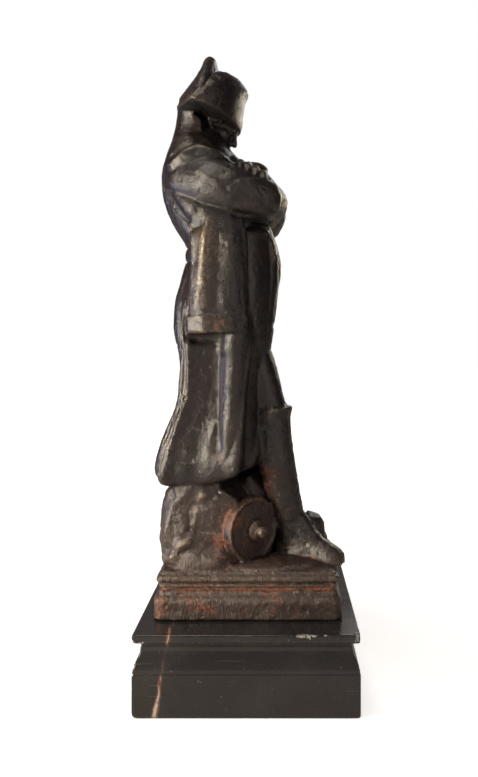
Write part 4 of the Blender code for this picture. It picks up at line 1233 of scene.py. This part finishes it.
def ironMaterial():
    made, tree, shader = startMaterial("castIronPatina")
    place = tree.nodes.new("ShaderNodeTexCoord").outputs["Object"]
    painted = addNode(tree, "ShaderNodeAttribute", attribute_name="finish", attribute_type="GEOMETRY")
    parts = addNode(tree, "ShaderNodeSeparateColor", {"Color": painted.outputs["Color"]})
    wear, grimeAndShade, rusty = (parts.outputs[name] for name in ("Red", "Green", "Blue"))
    low = painted.outputs["Alpha"]
    cloud, patch = noise(tree, place, 55, 3), noise(tree, place, 210, 5, 0.6)
    grainy, dust = noise(tree, place, 900, 4, 0.6), noise(tree, place, 2600, 2)

    colour = mixColour(tree, ramp(tree, cloud, 0.35, 0.65), iron["dark"], iron["brown"])
    colour = mixColour(tree, mathNode(tree, "MULTIPLY", low, 0.85), colour, iron["earth"])
    rubbed = mathNode(tree, "MULTIPLY", wear, ramp(tree, grainy, 0.40, 0.62, 0.1, 1.0))
    colour = mixColour(tree, mathNode(tree, "MULTIPLY", rubbed, 0.60, True), colour, iron["worn"])
    # dirt and painted shade: the hollows, the hat's underside, the foot of the base and the listed spots turn
    # darker and rougher
    grimeAndShadeShare = mathNode(tree, "MULTIPLY", grimeAndShade, 0.75, True)
    colour = mixColour(tree, grimeAndShadeShare, colour, iron["grimeAndShadeColour"])
    bloom = mathNode(tree, "MULTIPLY", mathNode(tree, "SUBTRACT", patch, 0.5), 1.9)
    speckle = mathNode(tree, "MULTIPLY", mathNode(tree, "SUBTRACT", grainy, 0.5), 1.0)
    speckle = mathNode(tree, "ADD", mathNode(tree, "ADD", rusty, bloom), speckle)
    corroded = ramp(tree, speckle, 0.35, 1.25)
    stain = mixColour(tree, ramp(tree, grainy, 0.35, 0.7), iron["rustDark"], iron["rustLight"])
    colour = mixColour(tree, mathNode(tree, "MULTIPLY", corroded, 0.8, True), colour, stain)
    tree.links.new(colour, shader.inputs["Base Color"])

    rough = mixValue(tree, ramp(tree, patch, 0.3, 0.7), 0.25, 0.40)
    rough = mixValue(tree, rubbed, rough, 0.27)
    rough = mixValue(tree, grimeAndShadeShare, rough, 0.50)
    rough = mixValue(tree, mathNode(tree, "MULTIPLY", low, 0.7), rough, 0.52)
    rough = mixValue(tree, corroded, rough, 0.80)
    tree.links.new(rough, shader.inputs["Roughness"])
    metal = mixValue(tree, corroded, mixValue(tree, rubbed, iron["metallic"], 0.9), 0.0)
    tree.links.new(metal, shader.inputs["Metallic"])
    height = mathNode(tree, "MULTIPLY", grainy, 0.65)
    height = mathNode(tree, "ADD", height, mathNode(tree, "MULTIPLY", dust, 0.35))
    brushed = addNode(tree, "ShaderNodeMapping", {"Vector": place, "Scale": (1.0, 1.0, 0.28)})
    streaks = mathNode(tree, "MULTIPLY", noise(tree, brushed.outputs["Vector"], 1500, 2), low)
    height = mathNode(tree, "ADD", height, mathNode(tree, "MULTIPLY", streaks, 1.2))
    skin = addNode(tree, "ShaderNodeBump", {"Strength": 1.0, "Distance": iron["bump"], "Height": height})
    tree.links.new(skin.outputs["Normal"], shader.inputs["Normal"])
    shader.inputs["IOR"].default_value = iron["ior"]
    return made


marbleLook = {
    "black": (0.0145, 0.0130, 0.0138, 1),
    "cloud": (0.022, 0.0200, 0.0205, 1),
    # the vein leans: its place along X at the underside, and how far it moves for each metre up
    "veinPlace": -0.0358,
    "veinLean": 0.150,
    "veinWidth": 0.0006,
    "veinWhite": (0.40, 0.35, 0.30, 1),
    "veinBrown": (0.115, 0.050, 0.034, 1),
    "speck": (0.22, 0.21, 0.20, 1),
}


def marbleMaterial():
    made, tree, shader = startMaterial("polishedBlackMarble")
    place = tree.nodes.new("ShaderNodeTexCoord").outputs["Object"]
    apart = addNode(tree, "ShaderNodeSeparateXYZ", {"Vector": place})
    up = apart.outputs["Z"]
    cloud, wobble, patchy = noise(tree, place, 40, 4), noise(tree, place, 90, 3), noise(tree, place, 190, 5)
    dust = noise(tree, place, 1500, 3)
    colour = mixColour(tree, ramp(tree, cloud, 0.45, 0.75), marbleLook["black"], marbleLook["cloud"])

    # one upright vein near the left end of the front, brown with a pale core, fading towards the back
    bend = mathNode(tree, "MULTIPLY", mathNode(tree, "SUBTRACT", wobble, 0.5), 0.0045)
    line = mathNode(tree, "MULTIPLY", up, marbleLook["veinLean"])
    line = mathNode(tree, "ADD", line, marbleLook["veinPlace"])
    across = mathNode(tree, "SUBTRACT", mathNode(tree, "SUBTRACT", apart.outputs["X"], line), bend)
    away, wide = mathNode(tree, "ABSOLUTE", across), marbleLook["veinWidth"]
    foot = ramp(tree, up, 0.001, 0.012, 1, 0)   # broader near the underside
    outside = mathNode(tree, "SUBTRACT", away, mathNode(tree, "MULTIPLY", foot, wide))
    core = ramp(tree, outside, 0, wide * 0.7, 1, 0)
    halo = ramp(tree, outside, wide, wide * 2, 1, 0)
    front = ramp(tree, apart.outputs["Y"], -0.041, -0.030, 1, 0)
    hidden = mathNode(tree, "MULTIPLY", ramp(tree, up, 0.0155, 0.0180), ramp(tree, up, 0.0270, 0.0300, 1, 0))
    shown = mathNode(tree, "SUBTRACT", 1.0, mathNode(tree, "MULTIPLY", hidden, 0.9))
    shown = mathNode(tree, "MULTIPLY", front, shown)
    colour = mixColour(tree, mathNode(tree, "MULTIPLY", mathNode(tree, "MULTIPLY", halo, shown), 0.8),
                       colour, marbleLook["veinBrown"])
    pale = mathNode(tree, "MULTIPLY", mathNode(tree, "MULTIPLY", core, shown), ramp(tree, patchy, 0.42, 0.60))
    colour = mixColour(tree, mathNode(tree, "MULTIPLY", pale, 0.8), colour, marbleLook["veinWhite"])

    # fine pale specks, faint scratches in the polish, and frosted stone where the edges are chipped
    cells = addNode(tree, "ShaderNodeTexVoronoi", {"Vector": place, "Scale": 430.0})
    speck = ramp(tree, cells.outputs["Distance"], 0.07, 0.15, 1, 0)
    speck = mathNode(tree, "MULTIPLY", speck, ramp(tree, patchy, 0.56, 0.66))
    colour = mixColour(tree, mathNode(tree, "MULTIPLY", speck, 0.6), colour, marbleLook["speck"])
    drawn = addNode(tree, "ShaderNodeMapping", {
        "Vector": place, "Rotation": (0.2, 1.15, 0.5), "Scale": (60.0, 1400.0, 1900.0)})
    scratch = ramp(tree, noise(tree, drawn.outputs["Vector"], 1.0, 2), 0.70, 0.76)
    colour = mixColour(tree, mathNode(tree, "MULTIPLY", scratch, 0.10), colour, marbleLook["speck"])
    chipped = addNode(tree, "ShaderNodeAttribute", attribute_name="broken", attribute_type="GEOMETRY")
    chipped = chipped.outputs["Fac"]
    ragged = mathNode(tree, "MULTIPLY", mathNode(tree, "SUBTRACT", noise(tree, place, 1100, 3), 0.5), 2.6)
    ragged = mathNode(tree, "MULTIPLY", ragged, chipped)
    frost = ramp(tree, mathNode(tree, "ADD", chipped, ragged), 0.55, 0.75)
    colour = mixColour(tree, mathNode(tree, "MULTIPLY", frost, 0.85), colour, marbleLook["speck"])
    tree.links.new(colour, shader.inputs["Base Color"])
    rough = mixValue(tree, ramp(tree, cloud, 0.3, 0.7), 0.14, 0.22)
    rough = mixValue(tree, ramp(tree, dust, 0.55, 0.75), rough, 0.32)
    rough = mixValue(tree, mathNode(tree, "MAXIMUM", scratch, frost), rough, 0.55)
    tree.links.new(rough, shader.inputs["Roughness"])
    skin = addNode(tree, "ShaderNodeBump", {"Strength": 0.2, "Distance": 0.00004, "Height": mathNode(
        tree, "SUBTRACT", dust, mathNode(tree, "MULTIPLY", scratch, 0.6))})
    tree.links.new(skin.outputs["Normal"], shader.inputs["Normal"])
    shader.inputs["Specular IOR Level"].default_value = 0.5
    return made


studio = {
    "floorRadius": 4.0,
    "floorColour": (0.80, 0.80, 0.79, 1),
    "floorDim": (0.60, 0.56, 0.55, 1),   # as the object sees the floor
    "backdrop": (1.0, 1.0, 1.0, 1),
    "room": (1.0, 0.87, 0.87, 1),
    "roomStrength": 0.05,
    "frontStrength": 0.24,
    "rearStrength": 0.16,
    # name, place, width, height, power and colour of each soft light; all point at the figure
    "lights": (
        ("leftLight", (-0.62, -0.42, 0.24), 0.06, 0.22, 10.0, (1.0, 0.90, 0.72)),
        ("windowLight", (-0.84, 0.02, 0.10), 0.05, 0.20, 1.2, (0.30, 0.42, 1.0)),
        ("rightLight", (0.42, 0.76, 0.36), 0.03, 0.34, 1.0, (1.0, 0.88, 0.66)),
        ("ceilingLight", (-0.15, -0.20, 0.95), 0.40, 0.10, 3.2, (1.0, 0.90, 0.78)),
        ("fillLight", (0.75, -0.95, 0.45), 1.0, 1.0, 3.4, (1.0, 0.87, 0.80)),
        ("backLight", (0.25, 0.80, 0.60), 0.30, 0.30, 0.8, (1.0, 0.96, 0.90)),
    ),
    "aim": (0.0, 0.0, 0.150),
}


def makeFloor():
    shape = bmesh.new()
    bmesh.ops.create_circle(shape, cap_ends=True, segments=96, radius=studio["floorRadius"])
    floor = newObject("studioFloor", shape)
    made, tree, shader = startMaterial("paleFloor")
    shader.inputs["Roughness"].default_value = 0.8
    shader.inputs["Emission Color"].default_value = studio["backdrop"]
    place = tree.nodes.new("ShaderNodeTexCoord").outputs["Object"]
    away = addNode(tree, "ShaderNodeVectorMath", {0: place}, operation="LENGTH").outputs["Value"]
    seen = tree.nodes.new("ShaderNodeLightPath").outputs["Is Camera Ray"]
    tone = mixColour(tree, seen, studio["floorDim"], studio["floorColour"])
    tree.links.new(tone, shader.inputs["Base Color"])
    glow = mathNode(tree, "MULTIPLY", ramp(tree, away, 0.2, 0.9, 0.66, 1.0), seen)
    tree.links.new(glow, shader.inputs["Emission Strength"])
    floor.data.materials.append(made)


def makeRoom():
    # white behind the object, and a dim room with a brighter front and back for it to reflect
    world = bpy.data.worlds.new("studioRoom")
    bpy.context.scene.world = world
    world.use_nodes = True
    tree = world.node_tree
    seen = tree.nodes.new("ShaderNodeLightPath").outputs["Is Camera Ray"]
    way = tree.nodes.new("ShaderNodeTexCoord").outputs["Generated"]
    depth = addNode(tree, "ShaderNodeSeparateXYZ", {"Vector": way}).outputs["Y"]
    front = ramp(tree, depth, -0.95, -0.35, studio["frontStrength"], studio["roomStrength"])
    light = mathNode(tree, "ADD", front, ramp(tree, depth, 0.35, 0.95, 0.0, studio["rearStrength"]))
    room = tree.nodes["Background"]
    room.inputs["Color"].default_value = studio["room"]
    tree.links.new(light, room.inputs["Strength"])
    backdrop = addNode(tree, "ShaderNodeBackground", {"Color": studio["backdrop"], "Strength": 1.0})
    mixed = addNode(tree, "ShaderNodeMixShader", {0: seen, 1: room.outputs[0], 2: backdrop.outputs[0]})
    tree.links.new(mixed.outputs[0], tree.nodes["World Output"].inputs["Surface"])


def makeStudio():
    makeFloor()
    makeRoom()
    for name, place, width, height, power, colour in studio["lights"]:
        data = bpy.data.lights.new(name, "AREA")
        data.shape = "RECTANGLE"
        data.size, data.size_y, data.energy, data.color = width, height, power, colour
        light = bpy.data.objects.new(name, data)
        light.location = place
        light.rotation_euler = (Vector(studio["aim"]) - Vector(place)).to_track_quat("-Z", "Y").to_euler()
        bpy.context.scene.collection.objects.link(light)
    bpy.context.scene.view_settings.view_transform = "Standard"


makeCamera(viewpoint)
makeStudio()
print("studio ready")
figure = makeCasting()
figure.data.materials.clear()
figure.data.materials.append(ironMaterial())
stone = makePlinth(marbleMaterial())
for piece, node, slot in (
    (figure, "cast_iron_figure", "cast_iron"), (stone, "marble_plinth", "black_marble"),
):
    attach(piece, "root")
    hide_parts(node)
print("pieces placed")
bpy.context.view_layer.update()
